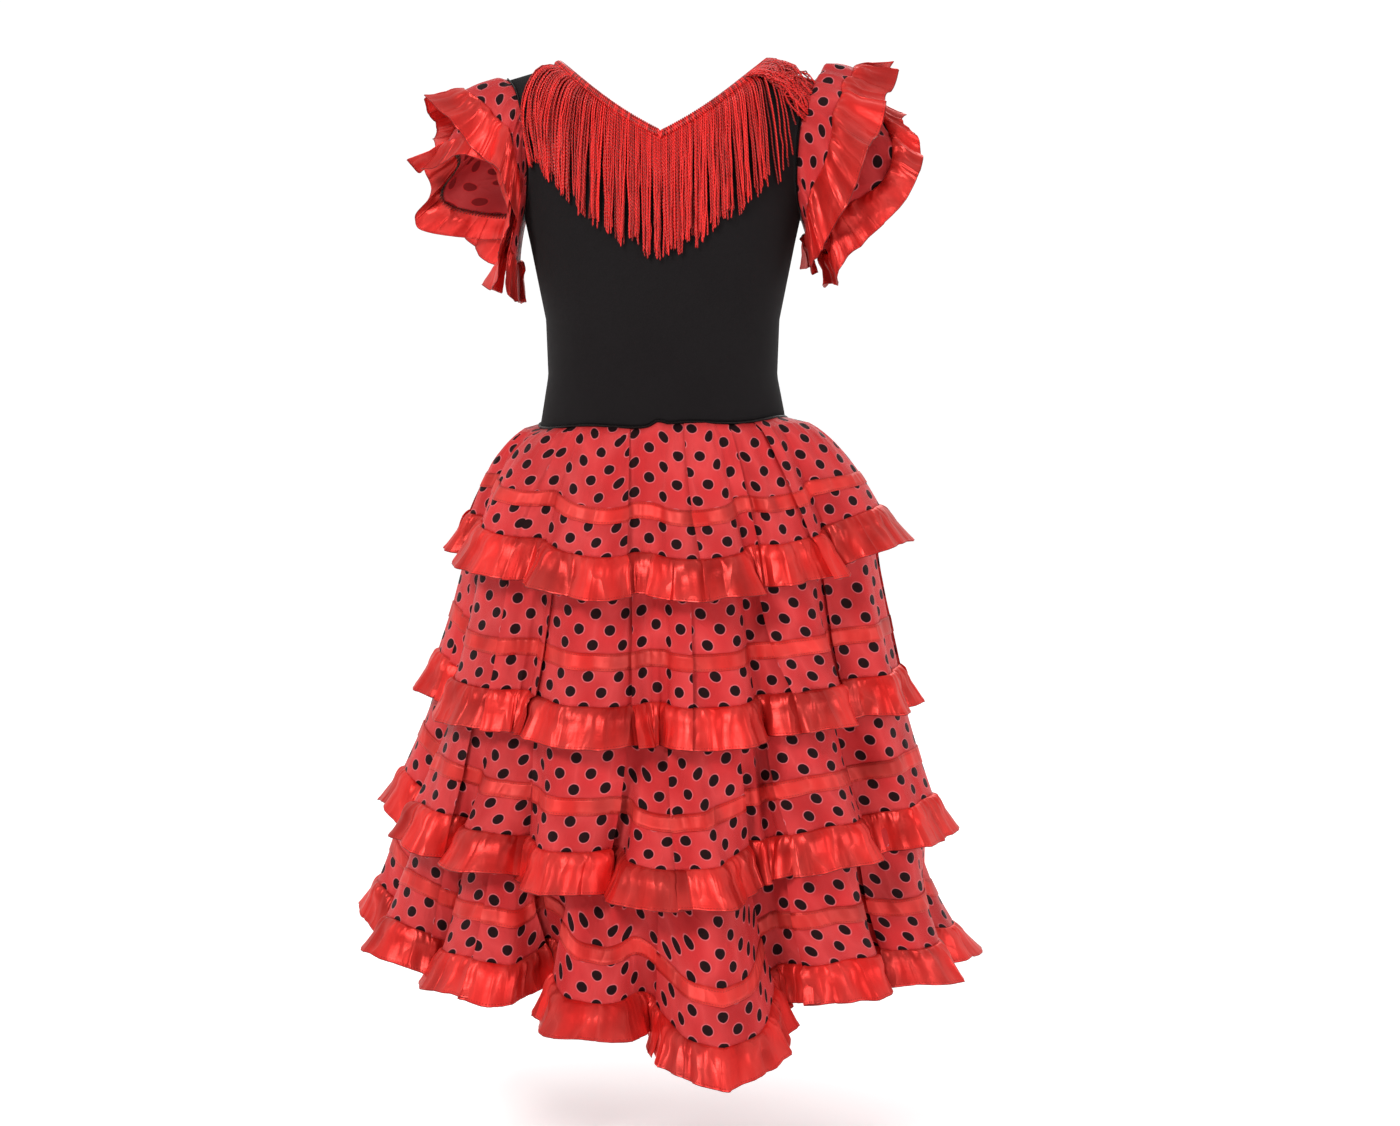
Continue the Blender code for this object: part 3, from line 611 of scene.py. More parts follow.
class Facets:
    """An uneven zigzag round a ring: flat facets of cloth between pressed creases."""

    def __init__(self, seed, count, high, low):
        draw = random.Random(seed)
        self.knots = [
            (
                (k + draw.uniform(-FACET_SHIFT, FACET_SHIFT)) / count,
                (low if k % 2 else high) * draw.uniform(*FACET_HEIGHT),
            )
            for k in range(count)
        ]

    def at(self, s):
        """Height of the zigzag at share s of the ring."""
        count = len(self.knots)
        k = int(s * count) % count
        if (self.knots[k][0] - s + 0.5) % 1 - 0.5 > 0:
            k -= 1
        start, first = self.knots[k % count]
        end, second = self.knots[(k + 1) % count]
        return mix(first, second, clamp(((s - start) % 1) / ((end - start) % 1)))

    def crease(self, s, total):
        """1 on a ridge of the zigzag, less than 0 in a valley, 0 a millimetre aside."""
        count = len(self.knots)
        k = int(s * count)
        for i in (k - 1, k, k + 1):
            knot, height = self.knots[i % count]
            gap = abs((knot - s + 0.5) % 1 - 0.5) * total
            if gap < CREASE_HALF:
                return (1 if height > 0 else CREASE_VALLEY) * (1 - gap / CREASE_HALF)
        return 0.0


def crumple(u, v, seed):
    """The slight unevenness of cloth that has been folded."""
    return sum(
        height * noise.noise(Vector((u * along, v * down, seed + 9 * k)))
        for k, (along, down, height) in enumerate(CRUMPLES)
    )


def add_patch(bm, across, down, place):
    """A grid of faces laid by place(column, row), which gives a point and its UV."""
    uv = bm.loops.layers.uv.verify()
    spots = {}
    made = bmesh.ops.create_grid(bm, x_segments=across, y_segments=down, size=1)["verts"]
    for v in made:
        c = round((v.co.x + 1) / 2 * across)
        r = round((v.co.y + 1) / 2 * down)
        v.co, spots[v] = place(c, r)
    for face in {f for v in made for f in v.link_faces}:
        for loop in face.loops:
            loop[uv].uv = spots[loop.vert]


def ring_lengths(points):
    """Distance of each point along a line of points from its first."""
    lengths = [0.0]
    for a, b in zip(points, points[1:]):
        lengths.append(lengths[-1] + (b - a).length)
    return lengths


# past this share a tube's side vector lies along it, and another is taken
NEARLY_ALONG = 0.95


def add_tube(bm, points, radii, sides, mark=0):
    """A tube along points, closed at both ends, its UV in metres along and turns round."""
    lengths = ring_lengths(points)
    side = Vector((0, 0, 1))
    frames = []
    for k in range(len(points)):
        along = points[min(k + 1, len(points) - 1)] - points[max(k - 1, 0)]
        along.normalize()
        if abs(side.dot(along)) > NEARLY_ALONG:
            side = Vector((1, 0, 0))
        side = (side - along * side.dot(along)).normalized()
        frames.append((side, along.cross(side)))

    def place(c, r):
        first, second = frames[r]
        a = 2 * math.pi * c / sides
        radius = 0 if r in (0, len(points) - 1) else radii[r]
        point = points[r] + (first * math.cos(a) + second * math.sin(a)) * radius
        return point, (lengths[r], mark + c / sides)

    add_patch(bm, sides, len(points) - 1, place)


def add_object(name, data):
    """A new object of the scene."""
    thing = bpy.data.objects.new(name, data)
    bpy.context.scene.collection.objects.link(thing)
    return thing


def mesh_object(name, bm, materials):
    """A bmesh as a new object with its materials."""
    mesh = bpy.data.meshes.new(name)
    bm.to_mesh(mesh)
    bm.free()
    for material in materials:
        mesh.materials.append(material)
    return add_object(name, mesh)


# the distance at which doubles merge, and the angle past which an edge looks sharp
MERGE = 0.000002
SHARP_ANGLE = math.radians(55)


def make_piece(name, bm, materials, nodes=(), closed=False):
    """Merges a bmesh's doubles, turns its faces outwards and makes it a piece."""
    bmesh.ops.remove_doubles(bm, verts=bm.verts[:], dist=MERGE)
    bmesh.ops.dissolve_degenerate(bm, edges=bm.edges[:], dist=MERGE / 2)
    if closed:
        bmesh.ops.recalc_face_normals(bm, faces=bm.faces[:])
    else:
        bm.normal_update()
        hub = sum((v.co for v in bm.verts), Vector()) / len(bm.verts)
        out = sum(f.normal.dot(f.calc_center_median() - hub) * f.calc_area() for f in bm.faces)
        if out < 0:
            bmesh.ops.reverse_faces(bm, faces=bm.faces[:])
    for face in bm.faces:
        face.smooth = True
    piece = mesh_object(name, bm, materials)
    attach(piece, "root")
    if nodes:
        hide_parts(*nodes)
    return piece


def give_thickness(piece, thickness, printed=False):
    """A cloth's wall, laid inwards from its face; printed cloth has an inside of its own."""
    wall = piece.modifiers.new("thickness", "SOLIDIFY")
    wall.thickness = thickness
    wall.offset = -1
    wall.use_even_offset = False
    wall.material_offset = 1 if printed else 0
    piece.data.set_sharp_from_angle(angle=SHARP_ANGLE)


def cut_line(edge, lengths, at):
    """The edge's point, fall, outward and share of the depth at a length along it."""
    k = min(max(bisect.bisect_right(lengths, at) - 1, 0), len(edge) - 2)
    f = clamp((at - lengths[k]) / max(lengths[k + 1] - lengths[k], 1e-9))
    a, b = edge[k], edge[k + 1]
    return a[0].lerp(b[0], f), a[1].lerp(b[1], f), a[2].lerp(b[2], f), mix(a[3], b[3], f)


def add_ruffle(bm, edge, looks):
    """A gathered ruffle below an edge: a list of point, fall, outward and depth share."""
    depth, flare, wave, seed, look = looks
    lengths = ring_lengths([p for p, _, _, _ in edge])
    total = lengths[-1]
    spacing, *long_form = LONG_GATHERS
    tight = Gathers(seed, round(total / look["gather"]), look["height"], GATHER_DEEP, GATHER_LEAN)
    long = Gathers(seed + 1, round(total / spacing), *long_form)
    broad = Facets(seed + 2, 2 * round(total / look["fold"]), wave, -wave)
    minor = Facets(seed + 3, 2 * round(total / PLEAT_SPACING), look["pleat"], -look["pleat"])
    droop = Facets(seed + 4, round(total / DROOP_SPACING), DROOP, -DROOP)
    marks = [k * RUFFLE_SPACING for k in range(int(total / RUFFLE_SPACING))]
    for knot, _ in broad.knots:
        marks += [(knot % 1) * total + step for step in (-FOLD_EDGE, 0.0, FOLD_EDGE)]
    marks = sorted(m for m in marks if 0 <= m < total - LAST_GAP) + [total]
    spots = [cut_line(edge, lengths, m) for m in marks]
    spots[-1] = spots[0]
    heights = [h * depth / RUFFLE_TYPICAL for h in RUFFLE_ROWS]
    heights += [depth - rest for rest in RUFFLE_HEM]

    def place(c, r):
        point, fall, out, share = spots[c]
        s = marks[c] / total % 1
        t = heights[r] / depth
        down = heights[r] * share
        angle = mix(flare["front"], flare["side"], out.x * out.x)
        ridge = (tight.at(s, down) + long.at(s, down)) * (1 - math.exp(-down / SEAM_RISE))
        puff = PUFF * math.sin(math.pi * min(down / PUFF_REACH, 1))
        swing = mix(broad.at(s) / wave, 1, RUFFLE_OUTWARD) * wave * t**SWING_POWER
        swing += minor.at(s) * ease(t * PLEATS_SOON)
        crease = CREASE_HEIGHT * broad.crease(s, total) * ease(t * CREASES_SOON)
        crumpled, flop, bent = [
            noise.noise(Vector((marks[c] * along, down * deep, seed + shift)))
            for along, deep, shift in RUFFLE_NOISE
        ]
        hem = HEM_HEIGHT if HEM_FROM < depth - heights[r] < HEM_TO else 0.0
        push = down * math.sin(angle) + ridge + puff + swing + crease + hem
        push += RUFFLE_CRUMPLE * crumpled * ease(t * PLEATS_SOON)
        push += look["flop"] * (FLOP_MEAN + FLOP_UNEVEN * flop) * t**FLOP_POWER
        push -= SEAM_SINK * (r == 0)
        fallen = down * math.cos(angle) + droop.at(s) * t - SEAM_OVERLAP
        fallen += look["flop"] * FLOP_BEND * bent * t
        return point + fall * fallen + out * push, (marks[c] * UV_FULLNESS, depth - heights[r])

    add_patch(bm, len(marks) - 1, len(heights) - 1, place)
    return total


# ---------------------------------------------------------------- materials


class Nodes:
    """Short ways to add and join the nodes of one material."""

    def __init__(self, name):
        self.material = bpy.data.materials.new(name)
        self.material.use_nodes = True
        self.tree = self.material.node_tree
        self.shader = self.tree.nodes["Principled BSDF"]

    def add(self, kind, **settings):
        """A new node; settings are its own or, by name, those of its sockets."""
        node = self.tree.nodes.new("ShaderNode" + kind)
        for key, value in settings.items():
            if hasattr(node, key):
                setattr(node, key, value)
            else:
                node.inputs[key.replace("_", " ")].default_value = value
        return node

    def join(self, source, target):
        """Links an output socket to an input socket."""
        self.tree.links.new(source, target)

    def math(self, operation, *values):
        """The result of a Math node on sockets or numbers."""
        node = self.add("Math", operation=operation)
        for k, value in enumerate(values):
            if isinstance(value, (int, float)):
                node.inputs[k].default_value = value
            else:
                self.join(value, node.inputs[k])
        return node.outputs[0]

    def times(self, first, second):
        """The product of two sockets or numbers."""
        return self.math("MULTIPLY", first, second)

    def rest(self, value):
        """What a value leaves of 1."""
        return self.math("SUBTRACT", 1.0, value)

    def split(self, where):
        """The three parts of a vector socket."""
        parts = self.add("SeparateXYZ")
        self.join(where, parts.inputs[0])
        return parts.outputs

    def vector(self, operation, *values):
        """The vector result of a Vector Math node."""
        node = self.add("VectorMath", operation=operation)
        for k, value in enumerate(values):
            if isinstance(value, tuple):
                node.inputs[k].default_value = value
            else:
                self.join(value, node.inputs[k])
        return node.outputs[1 if operation == "LENGTH" else 0]

    def blend(self, share, first, second):
        """A colour between two, which may be sockets or RGB."""
        node = self.add("Mix", data_type="RGBA")
        for k, value in ((0, share), (6, first), (7, second)):
            socket = node.inputs[k]
            if isinstance(value, (int, float)):
                socket.default_value = value
            elif isinstance(value, bpy.types.NodeSocket):
                self.join(value, socket)
            else:
                socket.default_value = (*value[:3], 1)
        return node.outputs[2]

    def tint(self, below, share, strength, colour):
        """A colour with another laid over it by a share."""
        return self.blend(self.times(share, strength), below, colour)

    def soft_step(self, value, low, high):
        """0 below low, 1 above high, soft between."""
        node = self.add("MapRange", interpolation_type="SMOOTHSTEP", From_Min=low, From_Max=high)
        self.join(value, node.inputs["Value"])
        return node.outputs[0]

    def noise(self, where, scale, detail=3.0, stretch=(1, 1, 1)):
        """Noise at a scale along a vector socket."""
        node = self.add("TexNoise", Scale=scale, Detail=detail)
        self.join(self.vector("MULTIPLY", where, stretch), node.inputs["Vector"])
        return node.outputs["Fac"]

    def bands(self, where, period, axis):
        """A wave of thread ridges, one each period in metres along u or v."""
        return self.math("SINE", self.times(self.split(where)[axis], 2 * math.pi / period))

    def bump(self, height, distance, below=None):
        """A bump laid over another one."""
        node = self.add("Bump", Distance=distance)
        self.join(height, node.inputs["Height"])
        if below is not None:
            self.join(below, node.inputs["Normal"])
        return node.outputs["Normal"]

    def finish(self, colour, normal, roughness, **uniform):
        """Joins the shader's colour, normal and roughness and sets its uniform sockets."""
        self.join(colour, self.shader.inputs["Base Color"])
        if normal is not None:
            self.join(normal, self.shader.inputs["Normal"])
        if isinstance(roughness, (int, float)):
            uniform["Roughness"] = roughness
        else:
            self.join(roughness, self.shader.inputs["Roughness"])
        for key, value in uniform.items():
            self.shader.inputs[key.replace("_", " ")].default_value = value
        return self.material


# the finishes that several operators share
FINISHES = {}
# the ribbon's width as its sewn lines count it
RIBBON_SEWN = 0.0165
# half the blur of a dot's edge, and the pale ring round it, in shares of the repeat
DOT_BLUR, RING_FROM, RING_TO = 0.006, 0.022, 0.042
DOT_WOBBLE = 0.012
RING_COLOUR = (0.62, 0.15, 0.17)
# metres of cloth for each ridge of threads: weft, warp, wales, courses, twist
WEAVE = (0.00052, 0.00060)
STITCHES = (0.00110, 0.00085)
FRINGE_TWIST, SEAM_TWIST, OVERLOCK_TWIST = 0.0034, 0.0014, 0.0010
# the sewn line: length of a stitch, how far in from a ruffle's hem and a ribbon's edge
STITCH, HEM_LINE, RIBBON_LINE = 0.0027, 0.0026, 0.0016
LINE_FROM, LINE_TO = 0.00025, 0.0007
# painted shade along a ruffle's lower edge: how far up it is whole, and where it has faded out
HEM_SHADE_FROM, HEM_SHADE_TO = 0.0005, 0.0013


def uv_of(nodes):
    """The piece's own UV, in metres of cloth."""
    return nodes.add("TexCoord").outputs["UV"]


def ridged(nodes, where, scale, stretch):
    """Thin raised lines, as cloth keeps where it was creased; where a caller tints them, they
    also carry a painted highlight.
    """
    soft = nodes.noise(where, scale, 2.0, stretch)
    fold = nodes.math("ABSOLUTE", nodes.math("MULTIPLY_ADD", soft, 2.0, -1.0))
    return nodes.math("POWER", nodes.rest(fold), 5.0)


def dotted_cloth(name, colours, sizes, inside=False):
    """Plain-woven cloth printed with rows of dots, each in a thin pale ring, with a painted
    highlight along its creases; its inside is darkened as painted shade.
    """
    nodes = Nodes(name)
    uv = uv_of(nodes)
    grid = nodes.vector("SCALE", uv)
    grid.node.inputs["Scale"].default_value = 1 / sizes.dot_pitch
    wobble = nodes.noise(uv, 420, 2.0)
    reaches = []
    for shift in ((0.0, 0.0, 0.0), (0.5, 0.5, 0.0)):
        cell = nodes.vector("FRACTION", nodes.vector("ADD", grid, shift))
        spoke = nodes.vector("SUBTRACT", cell, (0.5, 0.5, 0))
        reaches.append(nodes.vector("LENGTH", nodes.vector("MULTIPLY", spoke, (1, 1, 0))))
    edge = sizes.dot_diameter / 2 / sizes.dot_pitch
    nearest = nodes.math("MINIMUM", *reaches)
    blurred = nodes.times(nodes.math("SUBTRACT", wobble, 0.5), DOT_WOBBLE)
    nearest = nodes.math("ADD", nearest, blurred)
    off_dot = nodes.soft_step(nearest, edge - DOT_BLUR, edge + DOT_BLUR)
    off_ring = nodes.soft_step(nearest, edge + RING_FROM, edge + RING_TO)
    shade = nodes.soft_step(nodes.noise(uv, 9, 4.0), 0.32, 0.68)
    creases = ridged(nodes, uv, 17, (1.0, 0.5, 1.0))
    fine = ridged(nodes, uv, 46, (1.0, 0.7, 1.0))
    weave = nodes.times(*[nodes.bands(uv, period, axis) for axis, period in enumerate(WEAVE)])
    ground = nodes.blend(shade, [c * 0.64 for c in colours.cloth], list(colours.cloth))
    ground = nodes.blend(nodes.math("MULTIPLY_ADD", weave, 0.04, 0.04), ground, (0.9, 0.16, 0.16))
    # painted highlight: the crease lines are tinted lighter red, as if their ridges catch the
    # light
    ground = nodes.tint(ground, creases, 0.26, (0.95, 0.13, 0.13))
    dot, ring = list(colours.dots), RING_COLOUR
    # painted shade: the inside's ground is darkened; its dots and rings fade towards the ground,
    # as print does on the back of cloth
    if inside:
        ground = nodes.blend(0.30, ground, (0.22, 0.012, 0.014))
        dot, ring = [mix(a, b, 0.35) for a, b in zip(dot, colours.cloth)], colours.cloth
    ground = nodes.blend(nodes.math("MULTIPLY_ADD", off_ring, 0.65, 0.35), ring, ground)
    colour = nodes.blend(off_dot, dot, ground)
    normal = nodes.bump(nodes.noise(uv, 30, 4.0, (1.0, 0.55, 1.0)), 0.0016)
    for height, distance in ((creases, 0.0011), (fine, 0.0004), (weave, 0.00006)):
        normal = nodes.bump(height, distance, normal)
    rough = nodes.math("MULTIPLY_ADD", off_dot, -0.16, 0.62)
    return nodes.finish(colour, normal, rough, Sheen_Weight=0.0, Specular_IOR_Level=0.22,
                        Specular_Tint=(1, 0.40, 0.40, 1))


def satin(name, colours, ribbon=False):
    """Smooth satin: red gloss that follows each fold, cross threads and a sewn hem, with a
    painted highlight along its creases and painted shade along the hem's edge.
    """
    nodes = Nodes(name)
    uv = uv_of(nodes)
    up = nodes.split(uv)[1]
    tone = nodes.noise(uv, 18, 4.0, (1.0, 0.6, 1.0))
    bright = [c * (0.86 if ribbon else 1.0) for c in colours.satin]
    deep = [c * 0.42 for c in colours.satin]
    colour = nodes.blend(nodes.soft_step(tone, 0.32, 0.66), deep, bright)
    threads = nodes.noise(uv, 1.0, 2.0, (60, 1900, 1))
    colour = nodes.tint(colour, threads, 0.12, (0.95, 0.07, 0.06))
    creases = ridged(nodes, uv, 26, (1.0, 0.45, 1.0))
    # painted highlight: the crease lines are tinted bright red, as if their ridges catch the
    # light
    colour = nodes.tint(colour, creases, 0.22, (1.0, 0.12, 0.10))
    if ribbon:
        nearer = nodes.math("MINIMUM", up, nodes.math("SUBTRACT", RIBBON_SEWN, up))
        line = nodes.math("SUBTRACT", nearer, RIBBON_LINE)
    else:
        line = nodes.math("SUBTRACT", up, HEM_LINE)
    on_line = nodes.rest(nodes.soft_step(nodes.math("ABSOLUTE", line), LINE_FROM, LINE_TO))
    sewn = nodes.times(on_line, nodes.soft_step(nodes.bands(uv, STITCH, 0), -0.5, 0.2))
    colour = nodes.tint(colour, sewn, 0.45, (0.24, 0.012, 0.012))
    # painted shade: the cloth within about a millimetre of the hem's edge is darkened towards a
    # deep red-black
    if not ribbon:
        edge = nodes.rest(nodes.soft_step(up, HEM_SHADE_FROM, HEM_SHADE_TO))
        colour = nodes.tint(colour, edge, 0.75, (0.09, 0.008, 0.010))
    normal = nodes.bump(nodes.noise(uv, 38, 4.0, (1.0, 0.5, 1.0)), 0.0018)
    for height, distance in ((creases, 0.0013), (threads, 0.00010), (nodes.rest(sewn), 0.0002)):
        normal = nodes.bump(height, distance, normal)
    gloss = nodes.math("MULTIPLY_ADD", tone, 0.14, 0.40 if ribbon else 0.30)
    return nodes.finish(colour, normal, gloss, Metallic=0.18 if ribbon else 0.45,
                        Specular_IOR_Level=0.55, Specular_Tint=(1, 0.50, 0.45, 1),
                        Anisotropic=0.3)


def knit(name, colours):
    """Fine black jersey: columns of small stitches and a soft nap."""
    nodes = Nodes(name)
    uv = uv_of(nodes)
    loops = nodes.times(*[nodes.bands(uv, period, axis) for axis, period in enumerate(STITCHES)])
    loops = nodes.math("MULTIPLY_ADD", loops, 0.5, 0.5)
    tone = nodes.noise(uv, 12, 4.0)
    pale = [min(c * 1.9 + 0.004, 1) for c in colours.knit]
    worn = [c * 1.25 for c in colours.knit]
    colour = nodes.tint(list(colours.knit), loops, 0.5, pale)
    colour = nodes.blend(nodes.soft_step(tone, 0.35, 0.75), colour, worn)
    normal = nodes.bump(tone, 0.0022)
    for height, distance in ((loops, 0.00016), (nodes.noise(uv, 900, 2.0), 0.00010)):
        normal = nodes.bump(height, distance, normal)
    return nodes.finish(colour, normal, 0.95, Sheen_Weight=0.03, Sheen_Roughness=0.5,
                        Specular_IOR_Level=0.10)


def thread(name, colour, pitch, shine=0.5):
    """Twisted thread, each strand in a tone of its own, with a silky gloss, painted highlight and
    shade along its twist, and painted shade on its lower layers.
    """
    nodes = Nodes(name)
    along, around_it, _ = nodes.split(uv_of(nodes))
    turn = nodes.math("ADD", nodes.times(along, 1 / pitch), nodes.times(around_it, 2.0))
    wave = nodes.math("SINE", nodes.times(turn, 2 * math.pi))
    twist = nodes.math("MULTIPLY_ADD", wave, 0.5, 0.5)
    strand = nodes.math("FLOOR", around_it)
    own = nodes.add("TexWhiteNoise", noise_dimensions="1D")
    nodes.join(strand, own.inputs["W"])
    tone = nodes.noise(nodes.add("TexCoord").outputs["Object"], 60, 3.0, (1, 1, 0.3))
    shade = nodes.math("MULTIPLY_ADD", own.outputs["Value"], 0.45, nodes.times(tone, 0.25))
    # painted highlight and shade: lighter on the twist's crests, darker in its grooves
    shade = nodes.math("MULTIPLY_ADD", twist, 0.42, shade)
    # painted shade: strands of the lower layers, nearer the bodice, are darker
    shade = nodes.math("MULTIPLY_ADD", nodes.math("MODULO", strand, 3.0), 0.13, shade)
    deep = [c * 0.18 for c in colour]
    blend = nodes.blend(nodes.soft_step(shade, 0.32, 1.20), deep, list(colour))
    return nodes.finish(blend, nodes.bump(twist, 0.0006), 0.34, Specular_IOR_Level=shine,
                        Metallic=0.10, Specular_Tint=(1, 0.80, 0.76, 1))


def floor_paint(name, colour):
    """A pale, even studio floor."""
    nodes = Nodes(name)
    where = nodes.add("TexCoord").outputs["Object"]
    tone = nodes.noise(where, 2.0, 2.0)
    blend = nodes.blend(tone, [c * 0.985 for c in colour], list(colour))
    return nodes.finish(blend, None, 0.9, Specular_IOR_Level=0.1,
                        Emission_Color=(1, 1, 1, 1), Emission_Strength=0.42)


# ---------------------------------------------------------------- settings


class DressSizes(PropertyGroup):
    """Sizes that a user would change."""

    dot_diameter: FloatProperty(
        name="Dot diameter", description="Width of a printed dot",
        default=0.0104, min=0.002, max=0.04, unit="LENGTH",
    )
    dot_pitch: FloatProperty(
        name="Dot repeat", description="Side of the square that the dots repeat in",
        default=0.030, min=0.008, max=0.1, unit="LENGTH",
    )
    cloth_thickness: FloatProperty(
        name="Cloth thickness", description="Wall of the dotted cloth and the satin",
        default=0.0006, min=0.0002, max=0.002, unit="LENGTH",
    )
    ruffle_depth: FloatProperty(
        name="Ruffle depth", description="Height of the satin ruffle below each tier",
        default=0.040, min=0.02, max=0.06, unit="LENGTH",
    )
    ruffle_wave: FloatProperty(
        name="Ruffle wave", description="How far a ruffle's hem swings out and in",
        default=0.0085, min=0.0, max=0.02, unit="LENGTH",
    )
    ribbon_width: FloatProperty(
        name="Ribbon width", description="Width of the satin ribbon sewn on each tier",
        default=0.0165, min=0.004, max=0.03, unit="LENGTH",
    )
    sleeve_edge: FloatProperty(
        name="Sleeve edge", description="Depth of a sleeve's satin edge",
        default=0.042, min=0.01, max=0.06, unit="LENGTH",
    )
    strands: IntProperty(
        name="Strands", description="Fringe strands along the front neck",
        default=340, min=50, max=600,
    )
    strand_radius: FloatProperty(
        name="Strand radius", description="Half the thickness of a fringe strand",
        default=0.00085, min=0.0003, max=0.002, unit="LENGTH",
    )


class DressColours(PropertyGroup):
    """Colours that a user would change."""

    cloth: FloatVectorProperty(
        name="Cloth", description="Ground of the dotted cloth", subtype="COLOR",
        default=(0.54, 0.016, 0.019), min=0, max=1,
    )
    dots: FloatVectorProperty(
        name="Dots", description="The printed dots", subtype="COLOR",
        default=(0.0045, 0.0022, 0.0030), min=0, max=1,
    )
    satin: FloatVectorProperty(
        name="Satin", description="Ruffles, ribbons and sleeve edges", subtype="COLOR",
        default=(0.66, 0.011, 0.009), min=0, max=1,
    )
    knit: FloatVectorProperty(
        name="Knit", description="The bodice", subtype="COLOR",
        default=(0.0060, 0.0049, 0.0053), min=0, max=1,
    )
    fringe: FloatVectorProperty(
        name="Fringe", description="The fringe and its heading", subtype="COLOR",
        default=(0.92, 0.024, 0.021), min=0, max=1,
    )
    floor: FloatVectorProperty(
        name="Floor", description="The studio floor", subtype="COLOR",
        default=(0.86, 0.86, 0.86), min=0, max=1,
    )


class DressStage(PropertyGroup):
    """The camera, floor and lights."""

    camera_height: FloatProperty(
        name="Camera height", description="Height of the camera above the shoulder line",
        default=-0.25, unit="LENGTH",
    )
    camera_distance: FloatProperty(
        name="Camera distance", description="Distance of the camera in front of the dress",
        default=2.5, min=0.5, unit="LENGTH",
    )
    lens: FloatProperty(
        name="Lens", description="Focal length in millimetres",
        default=64.28571, min=10, max=300,
    )
    floor_height: FloatProperty(
        name="Floor height", description="Height of the floor below the shoulder line",
        default=-1.06, unit="LENGTH",
    )
    light: FloatProperty(
        name="Light", description="Strength of the main soft light", default=66.0, min=0.0,
    )


# ---------------------------------------------------------------- operators

BODICE_GRID = (72, 84)
JERSEY_WALL = 0.0010
# how far above the waist its unevenness reaches, and the slight folds of the jersey
WAIST_REACH = 0.05
JERSEY_FOLD, FOLD_ENDS, FOLD_FADE = 0.0012, 0.13, 0.03
# their waves a radian round and a metre up, and their seed
FOLD_WAVES, FOLD_SEED = (1.5, 26), 3.0
# metres of jersey for each metre across, as its UV counts them
JERSEY_FULLNESS = 1.15


class BuildBodice(Operator):
    """Builds the black knit bodice, its front and back panel"""

    bl_idname = "dress.build_bodice"
    bl_label = "Build Bodice"

    def execute(self, context):
        colours = context.scene.dress_colours
        FINISHES["knit"] = knit("jersey_knit", colours)
        across, down = BODICE_GRID
        for name, side in (("bodice_front", -1), ("bodice_back", 1)):
            bm = bmesh.new()

            def place(c, r):
                point = bodice_point(2 * c / across, r / down, side)
                low = ease(1 - (point.z - WAIST_Z) / WAIST_REACH)
                point.z += waist_lift(point.x, point.y) * low
                angle = math.atan2(point.x, side * point.y)
                waves = Vector((angle * FOLD_WAVES[0], point.z * FOLD_WAVES[1], side * FOLD_SEED))
                fold = noise.noise(waves)
                fold *= clamp((FOLD_ENDS - abs(point.x)) / FOLD_FADE)
                point.y += side * JERSEY_FOLD * fold
                return point, (point.x * JERSEY_FULLNESS, point.z)

            add_patch(bm, across, down, place)
            piece = make_piece(name + "_jersey", bm, [FINISHES["knit"]], [name])
            give_thickness(piece, JERSEY_WALL)
        return {"FINISHED"}


# gathers under a panel's seam: their number, and height and reach on tier 1 and below
PANEL_GATHERS = 84
PANEL_GATHER_FORM = ((0.0030, 0.045), (0.0016, 0.030))
# columns round the whole panel, and the flat facets between two folds
PANEL_STEPS = 420
FOLD_FACETS, FACET_DEPTH = 5, 0.0024
# where a fold's slope ends, in shares of the cloth between two folds
FOLD_SLOPE = 0.55
# how far the ribbon lies above the lower edge, and the rows of points over, under and below it
RIBBON_UP = 0.034
TOP_ROWS, BAND_ROWS, LOW_ROWS = 12, 4, 8
PRESSED_HEIGHT = 1.35
# how far a lower panel's top is drawn in behind the ruffle above, and over which share
UPPER_SINK, UPPER_SINK_SHARE = 0.0060, 0.16
# metres below the seam over which gathers and crumples grow
GATHER_EASE, CRUMPLE_EASE = 0.006, 0.02
METRES_A_DEGREE = 0.0036
# how a fold deepens downwards, how soon its facets do and which share of them shows
FOLD_POWER, FACETS_SOON, FACETS_SHOWN = 0.8, 1.5, 0.98
# the share of tier 1 that the waist's unevenness reaches down
WAIST_SHARE = 0.5
# the most that the print is shifted by chance from strip to strip, and its own step
PRINT_CHANCE, PRINT_STEP = 0.03, 0.06
PRINT_SEED, GATHER_SEED, CREASE_SEED, CREASE_SEED_STEP = 40, 60, 90, 17


def panel_rows(slant, ribbon_width):
    """Shares of a panel's depth for its rows of points, with whole rows at the ribbon."""
    low = 1 - RIBBON_UP / slant
    top = low - ribbon_width / slant
    rows = [mix(0, top, (j / TOP_ROWS) ** 0.9) for j in range(TOP_ROWS)]
    rows += [mix(top, low, j / BAND_ROWS) for j in range(BAND_ROWS)]
    return rows + [mix(low, 1, j / (LOW_ROWS - 1)) for j in range(LOW_ROWS)]


def pressed(tier, angle):
    """Height of a tier's pressed ridges at an angle."""
    height = 0.0
    for middle, half, high in PRESSED[tier]:
        gap = abs((angle - middle + 180) % 360 - 180) / half
        if gap < 1:
            height += PRESSED_HEIGHT * high * (1 - gap)
    return height


def lay_out(strip, start_u):
    """A strip's columns as points with their UV: metres of cloth across and up."""
    middle = (len(strip) - 1) // 2
    ups = [ring_lengths(column[::-1])[::-1] for column in strip]
    columns = []
    for k, column in enumerate(strip):
        step = 1 if k >= middle else -1
        line = []
        for r, point in enumerate(column):
            u = start_u + sum(
                step * (strip[j + step][r] - strip[j][r]).length for j in range(middle, k, step)
            )
            line.append((point, (u, ups[k][r])))
        columns.append(line)
    return columns


